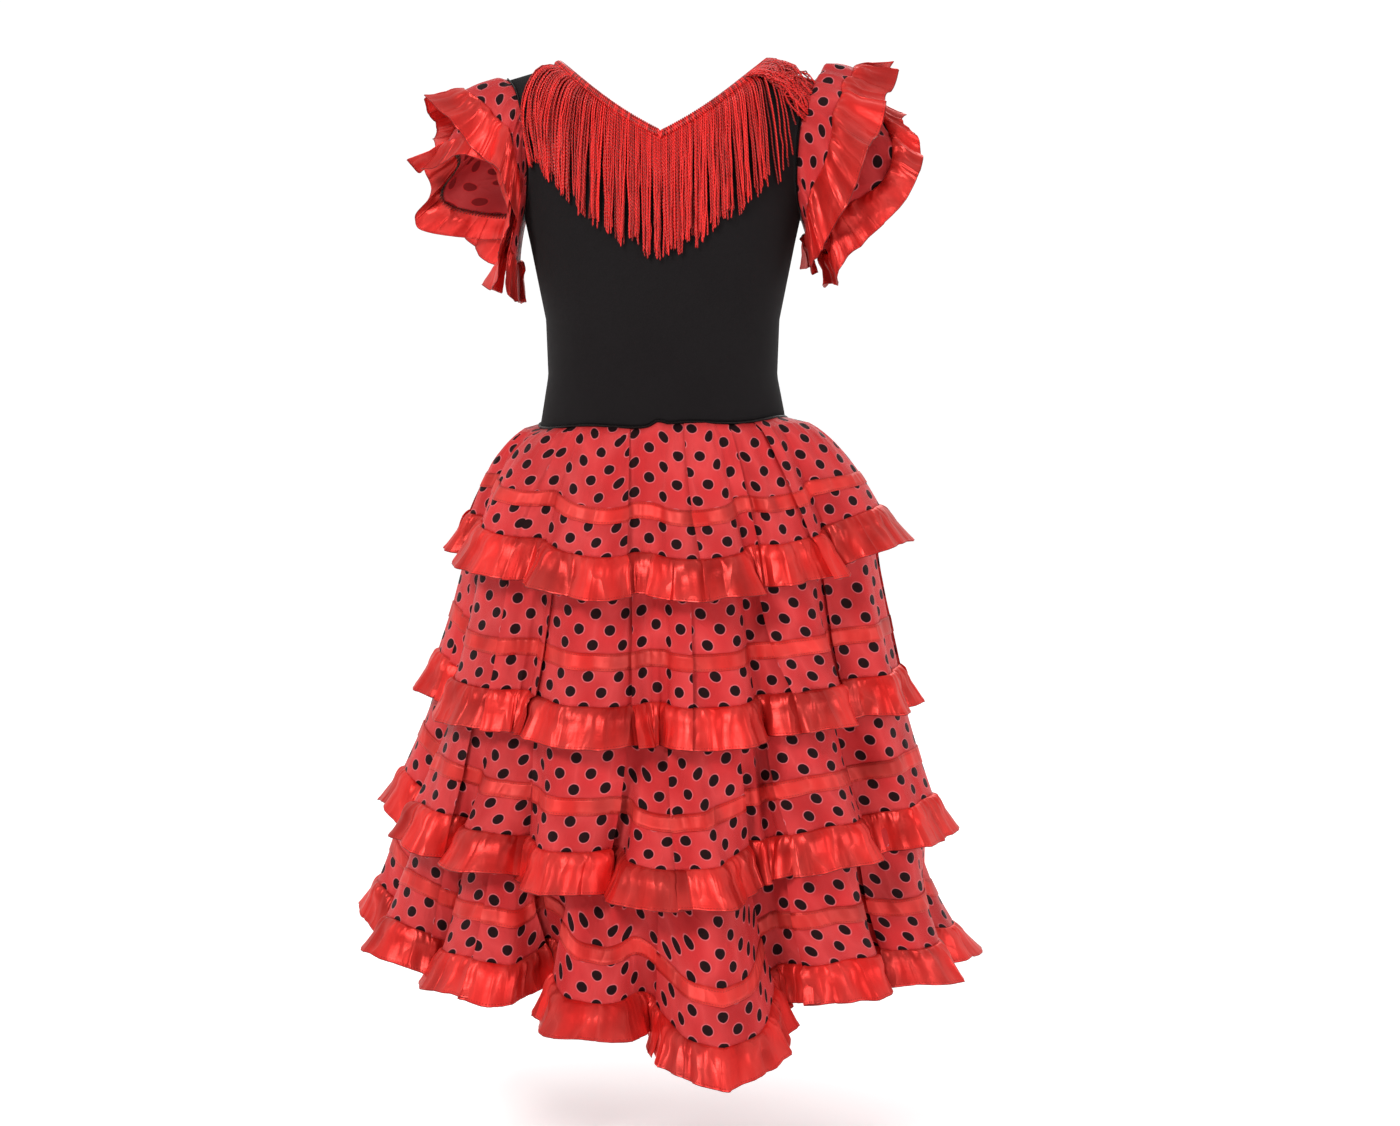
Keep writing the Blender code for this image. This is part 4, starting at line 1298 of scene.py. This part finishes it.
def panel_columns(tier, form, sizes):
    """The columns of a tier's panel, each a list of point and UV, with its edge's facts."""
    draw = random.Random(PRINT_SEED + tier)
    folds = FOLDS[tier]
    gathers = Gathers(GATHER_SEED + tier, PANEL_GATHERS, *PANEL_GATHER_FORM[min(tier, 1)])
    columns, edge = [], []
    for i, (top_a, edge_a, depth_a, way_a) in enumerate(folds):
        top_b, edge_b, depth_b, way_b = folds[(i + 1) % len(folds)]
        wrap = 360 if i == len(folds) - 1 else 0
        top_b, edge_b = top_b + wrap, edge_b + wrap
        steps = max(8, round((edge_b - edge_a) / 360 * PANEL_STEPS))
        seed = CREASE_SEED + CREASE_SEED_STEP * tier + i
        creases = Facets(seed, FOLD_FACETS, FACET_DEPTH, -FACET_DEPTH)
        start_u = draw.uniform(0, PRINT_CHANCE) + i * PRINT_STEP
        strip = []
        for k in range(steps + 1):
            q = k / steps
            near, far = clamp(1 - q / FOLD_SLOPE), clamp(1 - (1 - q) / FOLD_SLOPE)
            angle_low = mix(edge_a - FOLD_LAP, edge_b + FOLD_LAP, q)
            start, end = form.ends(angle_low)
            slant = (end - start).length
            column = []
            for v in panel_rows(slant, sizes.ribbon_width):
                grow = mix(FOLD_TOP_SHARE, 1.0, v**FOLD_POWER)
                lap = FOLD_LAP * grow
                angle = mix(mix(top_a, edge_a, v) - lap, mix(top_b, edge_b, v) + lap, q)
                fall = v * slant
                out = (-depth_a if way_a > 0 else FOLD_LIP * depth_a) * near * grow
                out += (FOLD_LIP * depth_b if way_b > 0 else -depth_b) * far * grow
                facets = creases.at(q * FACETS_SHOWN) * ease(v * FACETS_SOON)
                out += facets + pressed(tier, angle) * grow
                out += gathers.at(angle % 360 / 360, fall) * ease(fall / GATHER_EASE)
                unevenness = crumple(angle * METRES_A_DEGREE, fall, 3.7 * tier)
                out += unevenness * ease(fall / CRUMPLE_EASE)
                if tier:
                    out -= UPPER_SINK * (1 - ease(v / UPPER_SINK_SHARE))
                point = form.point(angle, v) + form.outward(angle, v) * out
                if tier == 0:
                    point.z += waist_lift(point.x, point.y) * ease(1 - v / WAIST_SHARE)
                column.append(point)
            strip.append(column)
            low, above = form.point(angle_low, 1), form.point(angle_low, 1 - RIBBON_UP / slant)
            edge.append((column[-1], (low - above).normalized(), form.outward(angle_low, 1), 1.0))
        columns += lay_out(strip, start_u)
    columns.append(columns[0])
    edge.append(edge[0])
    return columns, edge


RIBBON_ROWS = (TOP_ROWS, TOP_ROWS + BAND_ROWS)
RIBBON_LIFT, RIBBON_WALL = 0.0009, 0.0005


class BuildSkirt(Operator):
    """Builds the four tiers: dotted panels, sewn ribbons and gathered satin ruffles"""

    bl_idname = "dress.build_skirt"
    bl_label = "Build Skirt"

    def execute(self, context):
        sizes, colours = context.scene.dress_sizes, context.scene.dress_colours
        FINISHES["cloth"] = dotted_cloth("printed_cloth", colours, sizes)
        FINISHES["inside"] = dotted_cloth("printed_cloth_inside", colours, sizes, inside=True)
        FINISHES["satin"] = satin("ruffle_satin", colours)
        tape = satin("ribbon_satin", colours, ribbon=True)
        form = None
        for tier in range(len(TIERS)):
            form = TierForm(tier, form)
            columns, edge = panel_columns(tier, form, sizes)
            name = f"tier_{tier + 1}_"
            bm = bmesh.new()
            add_patch(bm, len(columns) - 1, len(columns[0]) - 1, lambda c, r: columns[c][r])
            panel = make_piece(name + "dotted_panel", bm, [FINISHES["cloth"], FINISHES["inside"]],
                               [name + "panel"])
            self.add_ribbon(name + "ribbon", columns, tape, sizes)
            give_thickness(panel, sizes.cloth_thickness, printed=True)
            bm = bmesh.new()
            depth = RUFFLE_DEPTHS[tier] * sizes.ruffle_depth / RUFFLE_TYPICAL
            looks = (depth, RUFFLE_FLARE, sizes.ruffle_wave, 200 + 10 * tier, SKIRT_LOOK)
            total = add_ruffle(bm, edge, looks)
            ruffle = make_piece(name + "satin_ruffle", bm, [FINISHES["satin"]],
                                [name + "ruffle"])
            give_thickness(ruffle, sizes.cloth_thickness)
        return {"FINISHED"}

    def add_ribbon(self, name, columns, tape, sizes):
        """A flat ribbon on the panel: the panel's own band of points, moved out."""
        first, last = RIBBON_ROWS
        bm = bmesh.new()
        low = [column[last][1][1] for column in columns]

        def place(c, r):
            point, (u, v) = columns[c][first + r]
            return point, (u, v - low[c])

        add_patch(bm, len(columns) - 1, last - first, place)
        bmesh.ops.remove_doubles(bm, verts=bm.verts[:], dist=MERGE)
        bm.normal_update()
        hub = sum((v.co for v in bm.verts), Vector()) / len(bm.verts)
        out = sum(v.normal.dot(v.co - hub) for v in bm.verts)
        for v in bm.verts:
            v.co += v.normal * math.copysign(RIBBON_LIFT, out)
        ribbon = make_piece(name.replace("ribbon", "satin_ribbon"), bm, [tape], [name])
        give_thickness(ribbon, RIBBON_WALL)


def armhole_ring(count, side):
    """Points of an armhole's edge: from the top, by the front, round the back."""
    steps = len(ARMHOLE) - 1
    points = []
    for k in range(count):
        turn = k / count * 2 * steps
        f = steps - turn if turn <= steps else turn - steps
        front = -1 if turn <= steps else 1
        x, z = armhole_at(f)
        point = torso(x, z, front)
        points.append(Vector((side * point.x, point.y, point.z)))
    return points


def blend_layer(layer, turn):
    """A sleeve layer's numbers at a turn round the armhole, 0 at the top."""
    top, middle, under = SLEEVE_LAYERS[layer]
    end = top if math.cos(turn) > 0 else under
    share = math.cos(turn) ** 2
    return [mix(m, e, share) for m, e in zip(middle, end)]


def lobes(name, turn):
    """What a flounce's lobes add at a turn in degrees: push out, and extra reach."""
    push = reach = 0.0
    for centre, half_span, out, longer in SLEEVE_LOBES[name]:
        x = ((turn - centre + 180) % 360 - 180) / half_span
        if abs(x) < 1:
            share = math.cos(math.pi / 2 * x) ** 2
            push += out * share
            reach += longer * share
    return push, reach


def fall_at(name, turn):
    """How a flounce falls at a turn in degrees, blended between the listed turns."""
    falls = SLEEVE_FALLS[name]
    falls += ((falls[0][0] + 360, *falls[0][1:]),)
    turn %= 360
    for low, high in zip(falls, falls[1:]):
        if turn <= high[0]:
            f = ease((turn - low[0]) / (high[0] - low[0]))
            return [mix(a, b, f) for a, b in zip(low[1:], high[1:])]


SLEEVE_GRID = (216, 16)
# number, height, reach and lean of a flounce's gathers; number and depth of its creases
FLOUNCE_GATHERS = (40, 0.0030, 0.030, 0.5)
FLOUNCE_CREASES, FLOUNCE_CREASE = 30, 0.0020
# how soon a flounce puffs out, the length from which its creases are whole, and metres
# of cloth for each column of points and for each metre of its ring
PUFF_SOON, CREASED_LENGTH = 4, 0.05
METRES_A_COLUMN, FLOUNCE_FULLNESS = 0.0021, 1.05
SLEEVE_SEEDS = {
    "left_upper": 300, "left_lower": 310, "right_upper": 320, "right_lower": 330,
}


class BuildSleeves(Operator):
    """Builds both cap sleeves: two nested dotted flounces, each with a satin edge"""

    bl_idname = "dress.build_sleeves"
    bl_label = "Build Sleeves"

    def execute(self, context):
        sizes = context.scene.dress_sizes
        count, rows = SLEEVE_GRID
        for side_name, side in (("left", -1), ("right", 1)):
            ring = armhole_ring(count, side)
            centre = sum(ring, Vector()) / count
            radials = [Vector((0, p.y - centre.y, p.z - centre.z)).normalized() for p in ring]
            stand = Vector((side * SLEEVE_STAND, 0, 0))
            roots = [p + stand + way * PANEL_WALL / 2 for p, way in zip(ring, radials)]
            for layer in ("upper", "lower"):
                name = f"{side_name}_{layer}"
                seed = SLEEVE_SEEDS[name]
                gathers = Gathers(seed, *FLOUNCE_GATHERS)
                creases = Facets(seed + 1, FLOUNCE_CREASES, FLOUNCE_CREASE, -FLOUNCE_CREASE)
                columns, facts = [], []
                for k, (root, radial) in enumerate(zip(roots, radials)):
                    turn = math.atan2(abs(radial.y), radial.z)
                    length, out, spread, droop = blend_layer(layer, turn)
                    push, reach = lobes(name, 360 * k / count)
                    share, drop, puff, edge_share = fall_at(name, 360 * k / count)
                    length = length * (1 + SLEEVE_TILT[side_name] * radial.y) + reach
                    length *= share
                    way = Vector((side * out, radial.y * spread, radial.z * spread)).normalized()
                    lift = SLEEVE_LIFT[side_name] * max(math.cos(turn), 0)
                    column = []
                    for r in range(rows + 1):
                        s = r / rows
                        down = s * length
                        point = root + way * down + radial * push * s * s
                        point.z += lift * s - (droop + drop) * s * s
                        point += radial * puff * ease(s * PUFF_SOON)
                        ridge = gathers.at(k / count, down) * ease(down / GATHER_EASE)
                        whole = ease(length / CREASED_LENGTH)
                        ridge += creases.at(k / count) * ease(s) * whole
                        ridge += crumple(k * METRES_A_COLUMN, down, seed)
                        column.append(point + radial * ridge)
                    columns.append(column)
                    facts.append((radial, edge_share))
                columns.append(columns[0])
                facts.append(facts[0])
                self.add_flounce("sleeve_" + name, columns, sizes)
                self.add_edge("sleeve_" + name, columns, facts, sizes, seed + 5)
                if layer == "upper":
                    roots = [
                        column[0].lerp(column[rows // 3], LOWER_LAYER_START)
                        - radial * (PANEL_WALL + LOWER_LAYER_GAP)
                        for column, radial in zip(columns, radials)
                    ]
        return {"FINISHED"}

    def add_flounce(self, name, columns, sizes):
        """One dotted flounce."""
        arcs = ring_lengths([column[len(column) // 2] for column in columns])
        fulls = [ring_lengths(column[::-1])[::-1] for column in columns]
        bm = bmesh.new()
        add_patch(bm, len(columns) - 1, len(columns[0]) - 1,
                  lambda c, r: (columns[c][r], (arcs[c] * FLOUNCE_FULLNESS, fulls[c][r])))
        piece = make_piece(name + "_flounce", bm, [FINISHES["cloth"], FINISHES["inside"]],
                           [name])
        give_thickness(piece, sizes.cloth_thickness, printed=True)

    def add_edge(self, name, columns, facts, sizes, seed):
        """The gathered satin edge of a flounce."""
        edge = []
        pairs = list(zip(columns, facts))
        for (a, (way_a, share_a)), (b, (way_b, share_b)) in zip(pairs, pairs[1:]):
            for f in (0.0, 0.5):
                point = a[-1].lerp(b[-1], f)
                fall = (point - a[-3].lerp(b[-3], f)).normalized()
                out = way_a.lerp(way_b, f)
                out = (out - fall * out.dot(fall)).normalized()
                edge.append((point, fall, out, mix(share_a, share_b, f)))
        edge.append(edge[0])
        SEWN[name] = edge
        bm = bmesh.new()
        looks = (sizes.sleeve_edge, SLEEVE_FLARE, SLEEVE_EDGE_WAVE, seed, SLEEVE_LOOK)
        total = add_ruffle(bm, edge, looks)
        piece = make_piece(name + "_satin_edge", bm, [FINISHES["satin"]],
                           [name + "_edge"])
        give_thickness(piece, sizes.cloth_thickness)


class Tufts:
    """Places along the neck that neighbouring strands are drawn to as they fall."""

    def __init__(self, draw):
        self.places = [-TUFT_REACH]
        while self.places[-1] < TUFT_REACH:
            self.places.append(self.places[-1] + draw.uniform(*TUFT_SPACING))
        self.pulls = [draw.uniform(*TUFT_PULL) for _ in self.places]
        self.drops = [draw.uniform(*TUFT_DROP) for _ in self.places]

    def at(self, x):
        """How far the tuft nearest to x draws it sideways, and how it hangs."""
        k = min(range(len(self.places)), key=lambda i: abs(self.places[i] - x))
        return (self.places[k] - x) * self.pulls[k], self.drops[k]


class BuildFringe(Operator):
    """Builds the silky fringe that hangs from a braided heading round the neck"""

    bl_idname = "dress.build_fringe"
    bl_label = "Build Fringe"

    def execute(self, context):
        sizes, colours = context.scene.dress_sizes, context.scene.dress_colours
        silk = thread("fringe_thread", list(colours.fringe), FRINGE_TWIST)
        for name, side in (("fringe_front", -1), ("fringe_back", 1)):
            bm = bmesh.new()
            draw = random.Random(FRINGE_SEED + side)
            tufts = Tufts(draw)
            self.add_heading(bm, side)
            count = sizes.strands if side < 0 else round(sizes.strands * BACK_STRANDS)
            for k in range(count):
                f = (k + draw.uniform(*STRAND_CHANCE)) / count * 2 - 1
                if side > 0 or f < SWEPT_FROM or draw.random() < SWEPT_LEFT:
                    self.add_strand(bm, side, f, k, draw, tufts, sizes)
            for k in range(SHOULDER_STRANDS):
                f = side * (1 - SHOULDER_SHARE * (k / SHOULDER_STRANDS) ** 1.5)
                self.add_strand(bm, side, f, count + SHOULDER_MARK + k, draw, tufts, sizes)
            if side < 0:
                for k in range(SWEPT_STRANDS):
                    self.add_swept(bm, k / (SWEPT_STRANDS - 1), count + k, draw, sizes)
            make_piece(name + "_threads", bm, [silk], [name], closed=True)
        return {"FINISHED"}

    def add_heading(self, bm, side):
        """Slanting loops of thread, side by side along the neck's edge."""
        rim, normals = [], []
        for k in range(HEADING_STEPS + 1):
            x, z = neck_line(k / HEADING_STEPS, NECK_Z[side])
            rim.append(torso(x, z, side))
            normals.append((off_torso(x, z, side, LEVEL) - rim[-1]).normalized())
        normals[0] = Vector((SHOULDER_SLOPE, 0, 1)).normalized()
        lengths = ring_lengths(rim)
        loops = round(lengths[-1] / HEADING_LOOP)
        for k in range(2 * loops + 1):
            left = abs(k - loops) / loops * lengths[-1]
            along = lengths[-1] - left
            i = min(max(bisect.bisect_right(lengths, along), 1), HEADING_STEPS)
            share = (along - lengths[i - 1]) / (lengths[i] - lengths[i - 1])
            edge = rim[i - 1].lerp(rim[i], share)
            normal = normals[i - 1].lerp(normals[i], share)
            run = (rim[i] - rim[i - 1]).normalized()
            fall = run.cross(normal).normalized() * side
            fall = fall.lerp(Vector((0, 0, -1)), ease(1 - left / HEADING_POINT))
            points = []
            for j in range(HEADING_POINTS):
                t = j / (HEADING_POINTS - 1)
                down = mix(-HEADING_OVER, HEADING_WIDTH, t)
                lift = HEADING_LIFT + HEADING_BULGE * math.sin(math.pi * t)
                point = edge + fall * down + run * HEADING_SLANT * (t - 0.5) + normal * lift
                point.x *= -1 if k < loops else 1
                points.append(point)
            add_tube(bm, points, [HEADING_THREAD] * HEADING_POINTS, 6, HEADING_MARK + k)

    def add_strand(self, bm, side, f, k, draw, tufts, sizes):
        """One strand from the heading's lower rim down to its own loose end."""
        neck_z = NECK_Z[side]
        x0, z0 = neck_line(1 - abs(f) * STRANDS_REACH, neck_z)
        x0 = math.copysign(x0, f)
        z0 -= STRAND_START
        reach = abs(x0) / NECK_HALF_WIDTH
        x1 = x0 * (1 + STRAND_FAN * reach**STRAND_FAN_POWER)
        pull, lower = tufts.at(x0)
        z1 = neck_z - FRINGE_DEPTH + FRINGE_RISE[0] * abs(x1) + FRINGE_RISE[1] * x1 * x1
        z1 += lower + draw.uniform(*STRAND_UNEVEN)
        out, down = [mix(1, SHOULDER_BEND[way], reach * reach) for way in ("out", "down")]
        bow = SHOULDER_BOW * reach**6 if side * x0 > 0 else 0.0
        own, phase = draw.uniform(-1, 1), draw.uniform(0, 40)
        layer = k % 3
        points, radii = [], []
        for t in STRAND_STEPS:
            sway = pull * t**STRAND_PULL + STRAND_LEAN * own * t * t
            for size, waves, seed, soon in STRAND_SWAYS:
                spot = Vector((phase, t * waves, side * seed))
                sway += size * noise.noise(spot) * ease(t * soon)
            arch = bow * math.sin(math.pi * t)
            x = mix(x0, x1, t**out) + sway + math.copysign(arch, x0)
            z = mix(z0, z1, t**down) + arch * 0.5
            free = ease(t * FREE_SOON)
            lift = STRAND_LIFT["root"]
            lift += STRAND_LIFT["layer"] * layer * mix(LAYER_LEAST, 1, free)
            lift += STRAND_LIFT["hang"] * ease(t * HANG_SOON)
            lift += STRAND_LIFT["waver"] * noise.noise(Vector((phase, t * WAVER_WAVES, 3)))
            lift += STRAND_LIFT["shoulder"] * reach * reach * (1 - t) * free
            points.append(off_torso(x, z, side, lift))
            radii.append(sizes.strand_radius * mix(1.0, STRAND_TIP, t))
        add_tube(bm, points, radii, 5, k)

    def add_swept(self, bm, share, k, draw, sizes):
        """A strand at the +X shoulder that was brushed aside and lies towards the sleeve."""
        x0, z0 = neck_line(SWEPT_NECK * share, NECK_Z[-1])
        bend, end = [
            [mix(first, last, share) for first, last in zip(*ends)] for ends in SWEPT_COURSE
        ]
        end = [place + draw.uniform(*uneven) for place, uneven in zip(end, SWEPT_UNEVEN)]
        phase = draw.uniform(0, 40)
        points, radii = [], []
        for t in STRAND_STEPS:
            curl = SWEPT_CURL * ease(t * 2)
            first, second, third = (1 - t) ** 2, 2 * t * (1 - t), t * t
            x = first * x0 + second * bend[0] + third * end[0]
            z = first * (z0 - SWEPT_START) + second * bend[1] + third * end[1]
            x += curl * noise.noise(Vector((phase * 0.2, t * CURL_WAVES, 1)))
            z += curl * noise.noise(Vector((phase * 0.2, t * CURL_WAVES, 8)))
            lift = SWEPT_LIFT["root"] + SWEPT_LIFT["layer"] * (k % 3)
            lift += SWEPT_LIFT["arch"] * math.sin(math.pi * min(t * 1.4, 1))
            points.append(off_torso(x, z, -1, lift))
            radii.append(sizes.strand_radius * mix(1.0, STRAND_TIP, t))
        add_tube(bm, points, radii, 5, k)


SEAM_BLACK = (0.0070, 0.0060, 0.0064)
WAIST_CORD, WAIST_CORD_OUT = 0.0014, 0.0011
# points along the waist's cord, which laps itself at the back, and degrees between two
WAIST_POINTS, WAIST_STEP = 243, 1.5
ARMHOLE_CORD, ARMHOLE_CORD_OUT, ARMHOLE_CORD_ASIDE = 0.0009, 0.0016, 0.0006
OVERLOCKS = (
    # name, colour, shift in stitches
    ("sleeve_overlock_dark", (0.016, 0.012, 0.012), 0.0),
    ("sleeve_overlock_pale", (0.46, 0.30, 0.22), 0.5),
)
# the overlock thread: how far it runs over the seam, below and above, and behind it
OVERLOCK_SPAN, OVERLOCK_BEHIND, OVERLOCK_THREAD = (0.0022, -0.0032), 0.0016, 0.0004


class BuildStitches(Operator):
    """Builds the seams that show: waist, armholes and the overlock inside the sleeves"""

    bl_idname = "dress.build_stitches"
    bl_label = "Build Stitches"

    def execute(self, context):
        bm = bmesh.new()
        waist = []
        for k in range(WAIST_POINTS):
            point = waist_point(180 + k * WAIST_STEP)
            way = Vector((point.x, point.y, 0)).normalized()
            point.z += waist_lift(point.x, point.y)
            waist.append(point + way * WAIST_CORD_OUT)
        add_tube(bm, waist, [WAIST_CORD] * len(waist), 6)
        for side in (-1, 1):
            ring = armhole_ring(180, side)
            centre = sum(ring, Vector()) / len(ring)
            aside = Vector((side * ARMHOLE_CORD_ASIDE, 0, 0))
            ring = [
                p + aside
                + Vector((0, p.y - centre.y, p.z - centre.z)).normalized() * ARMHOLE_CORD_OUT
                for p in ring[90:] + ring[:92]
            ]
            add_tube(bm, ring, [ARMHOLE_CORD] * len(ring), 5, 2 + side)
        black = thread("seam_thread", SEAM_BLACK, SEAM_TWIST, 0.2)
        make_piece("waist_and_armhole_seams", bm, [black], closed=True)
        for name, colour, phase in OVERLOCKS:
            bm = bmesh.new()
            for mark, edge in enumerate(SEWN.values()):
                self.add_zigzag(bm, edge, phase, mark)
            silk = thread(name + "_thread", colour, OVERLOCK_TWIST, 0.3)
            make_piece(name, bm, [silk], closed=True)
        return {"FINISHED"}

    def add_zigzag(self, bm, edge, phase, mark):
        """Overlock thread that runs to and fro over a seam, on its inner side."""
        lengths = ring_lengths([p for p, _, _, _ in edge])
        count = int(lengths[-1] / OVERLOCK_STEP) - 1
        points = []
        for k in range(count):
            point, fall, out, _ = cut_line(edge, lengths, (k + phase) * OVERLOCK_STEP)
            below = OVERLOCK_SPAN[0 if k % 2 else 1]
            points.append(point + fall * below - out * OVERLOCK_BEHIND)
        add_tube(bm, points, [OVERLOCK_THREAD] * count, 4, mark)


CAMERA_X, AIM_Z, SENSOR = 0.037, -0.488, 36
FLOOR_RADIUS = 60
LIGHTS = (
    # name, place, aim, width, strength share, colour
    ("key_light", (-1.3, -2.2, 1.3), (0, 0, -0.45), 0.9, 1.0, (1, 0.98, 0.96)),
    ("fill_light", (2.2, -1.7, 0.2), (0, 0, -0.45), 1.2, 0.35, (0.97, 0.98, 1)),
    ("back_light", (0.8, 2.4, 1.2), (0, 0, -0.4), 1.8, 0.35, (1, 1, 1)),
)
# the room's brightness from the front's side to the back's, over which it changes
ROOM_RAMP = {"From Min": -0.7, "From Max": 0.5, "To Min": 0.27, "To Max": 1.05}


def look_at(place, aim):
    """The turn of a light or camera at a place that looks at a point."""
    return (Vector(aim) - Vector(place)).to_track_quat("-Z", "Y").to_euler()


class BuildStage(Operator):
    """Builds the floor, soft studio lights and the camera"""

    bl_idname = "dress.build_stage"
    bl_label = "Build Stage"

    def execute(self, context):
        stage, colours = context.scene.dress_stage, context.scene.dress_colours
        bm = bmesh.new()
        bmesh.ops.create_circle(bm, cap_ends=True, segments=96, radius=FLOOR_RADIUS)
        bmesh.ops.translate(bm, verts=bm.verts[:], vec=(0, 0, stage.floor_height))
        paint = floor_paint("floor_paint", list(colours.floor))
        floor = mesh_object("studio_floor", bm, [paint])
        for name, place, aim, width, share, colour in LIGHTS:
            lamp = bpy.data.lights.new(name, "AREA")
            lamp.shape = "DISK"
            lamp.size = width
            lamp.energy = stage.light * share
            lamp.color = colour
            thing = add_object(name, lamp)
            thing.location = place
            thing.rotation_euler = look_at(place, aim)
        self.light_room(context.scene)
        camera = bpy.data.cameras.new("dress_camera")
        camera.sensor_width = SENSOR
        camera.lens = stage.lens
        view = add_object("dress_camera", camera)
        view.location = (CAMERA_X, -stage.camera_distance, stage.camera_height)
        view.rotation_euler = look_at(view.location, (CAMERA_X, 0, AIM_Z))
        context.scene.camera = view
        context.scene.view_settings.view_transform = "Standard"
        return {"FINISHED"}

    def light_room(self, scene):
        """An even white room, a little dimmer on the side of the dress's front."""
        world = bpy.data.worlds.new("white_room")
        world.use_nodes = True
        tree = world.node_tree
        back = tree.nodes["Background"]
        way = tree.nodes.new("ShaderNodeTexCoord")
        parts = tree.nodes.new("ShaderNodeSeparateXYZ")
        ramp = tree.nodes.new("ShaderNodeMapRange")
        ramp.interpolation_type = "SMOOTHSTEP"
        for key, value in ROOM_RAMP.items():
            ramp.inputs[key].default_value = value
        back.inputs["Color"].default_value = (1, 1, 1, 1)
        tree.links.new(way.outputs["Generated"], parts.inputs[0])
        tree.links.new(parts.outputs[1], ramp.inputs["Value"])
        tree.links.new(ramp.outputs[0], back.inputs["Strength"])
        scene.world = world


class DressPanel(Panel):
    """Sizes, colours and build steps of the dress"""

    bl_idname = "VIEW3D_PT_flamenco_dress"
    bl_label = "Flamenco Dress"
    bl_space_type = "VIEW_3D"
    bl_region_type = "UI"
    bl_category = "Dress"

    def draw(self, context):
        layout, scene = self.layout, context.scene
        for group in (scene.dress_sizes, scene.dress_colours, scene.dress_stage):
            box = layout.box()
            for name in group.__annotations__:
                box.prop(group, name)
        for step in STEPS:
            layout.operator(step.bl_idname)


STEPS = (BuildBodice, BuildSkirt, BuildSleeves, BuildFringe, BuildStitches, BuildStage)
GROUPS = {
    "dress_sizes": DressSizes,
    "dress_colours": DressColours,
    "dress_stage": DressStage,
}


def register():
    """Registers the groups, operators and panel."""
    for cls in (*GROUPS.values(), *STEPS, DressPanel):
        bpy.utils.register_class(cls)
    for name, cls in GROUPS.items():
        setattr(bpy.types.Scene, name, PointerProperty(type=cls))


def unregister():
    """Removes what register added."""
    for name in GROUPS:
        delattr(bpy.types.Scene, name)
    for cls in (DressPanel, *reversed(STEPS), *reversed(list(GROUPS.values()))):
        bpy.utils.unregister_class(cls)


def main():
    """Builds every piece in order."""
    register()
    for step in STEPS:
        getattr(bpy.ops.dress, step.bl_idname.split(".")[1])()


if __name__ == "__main__":
    main()
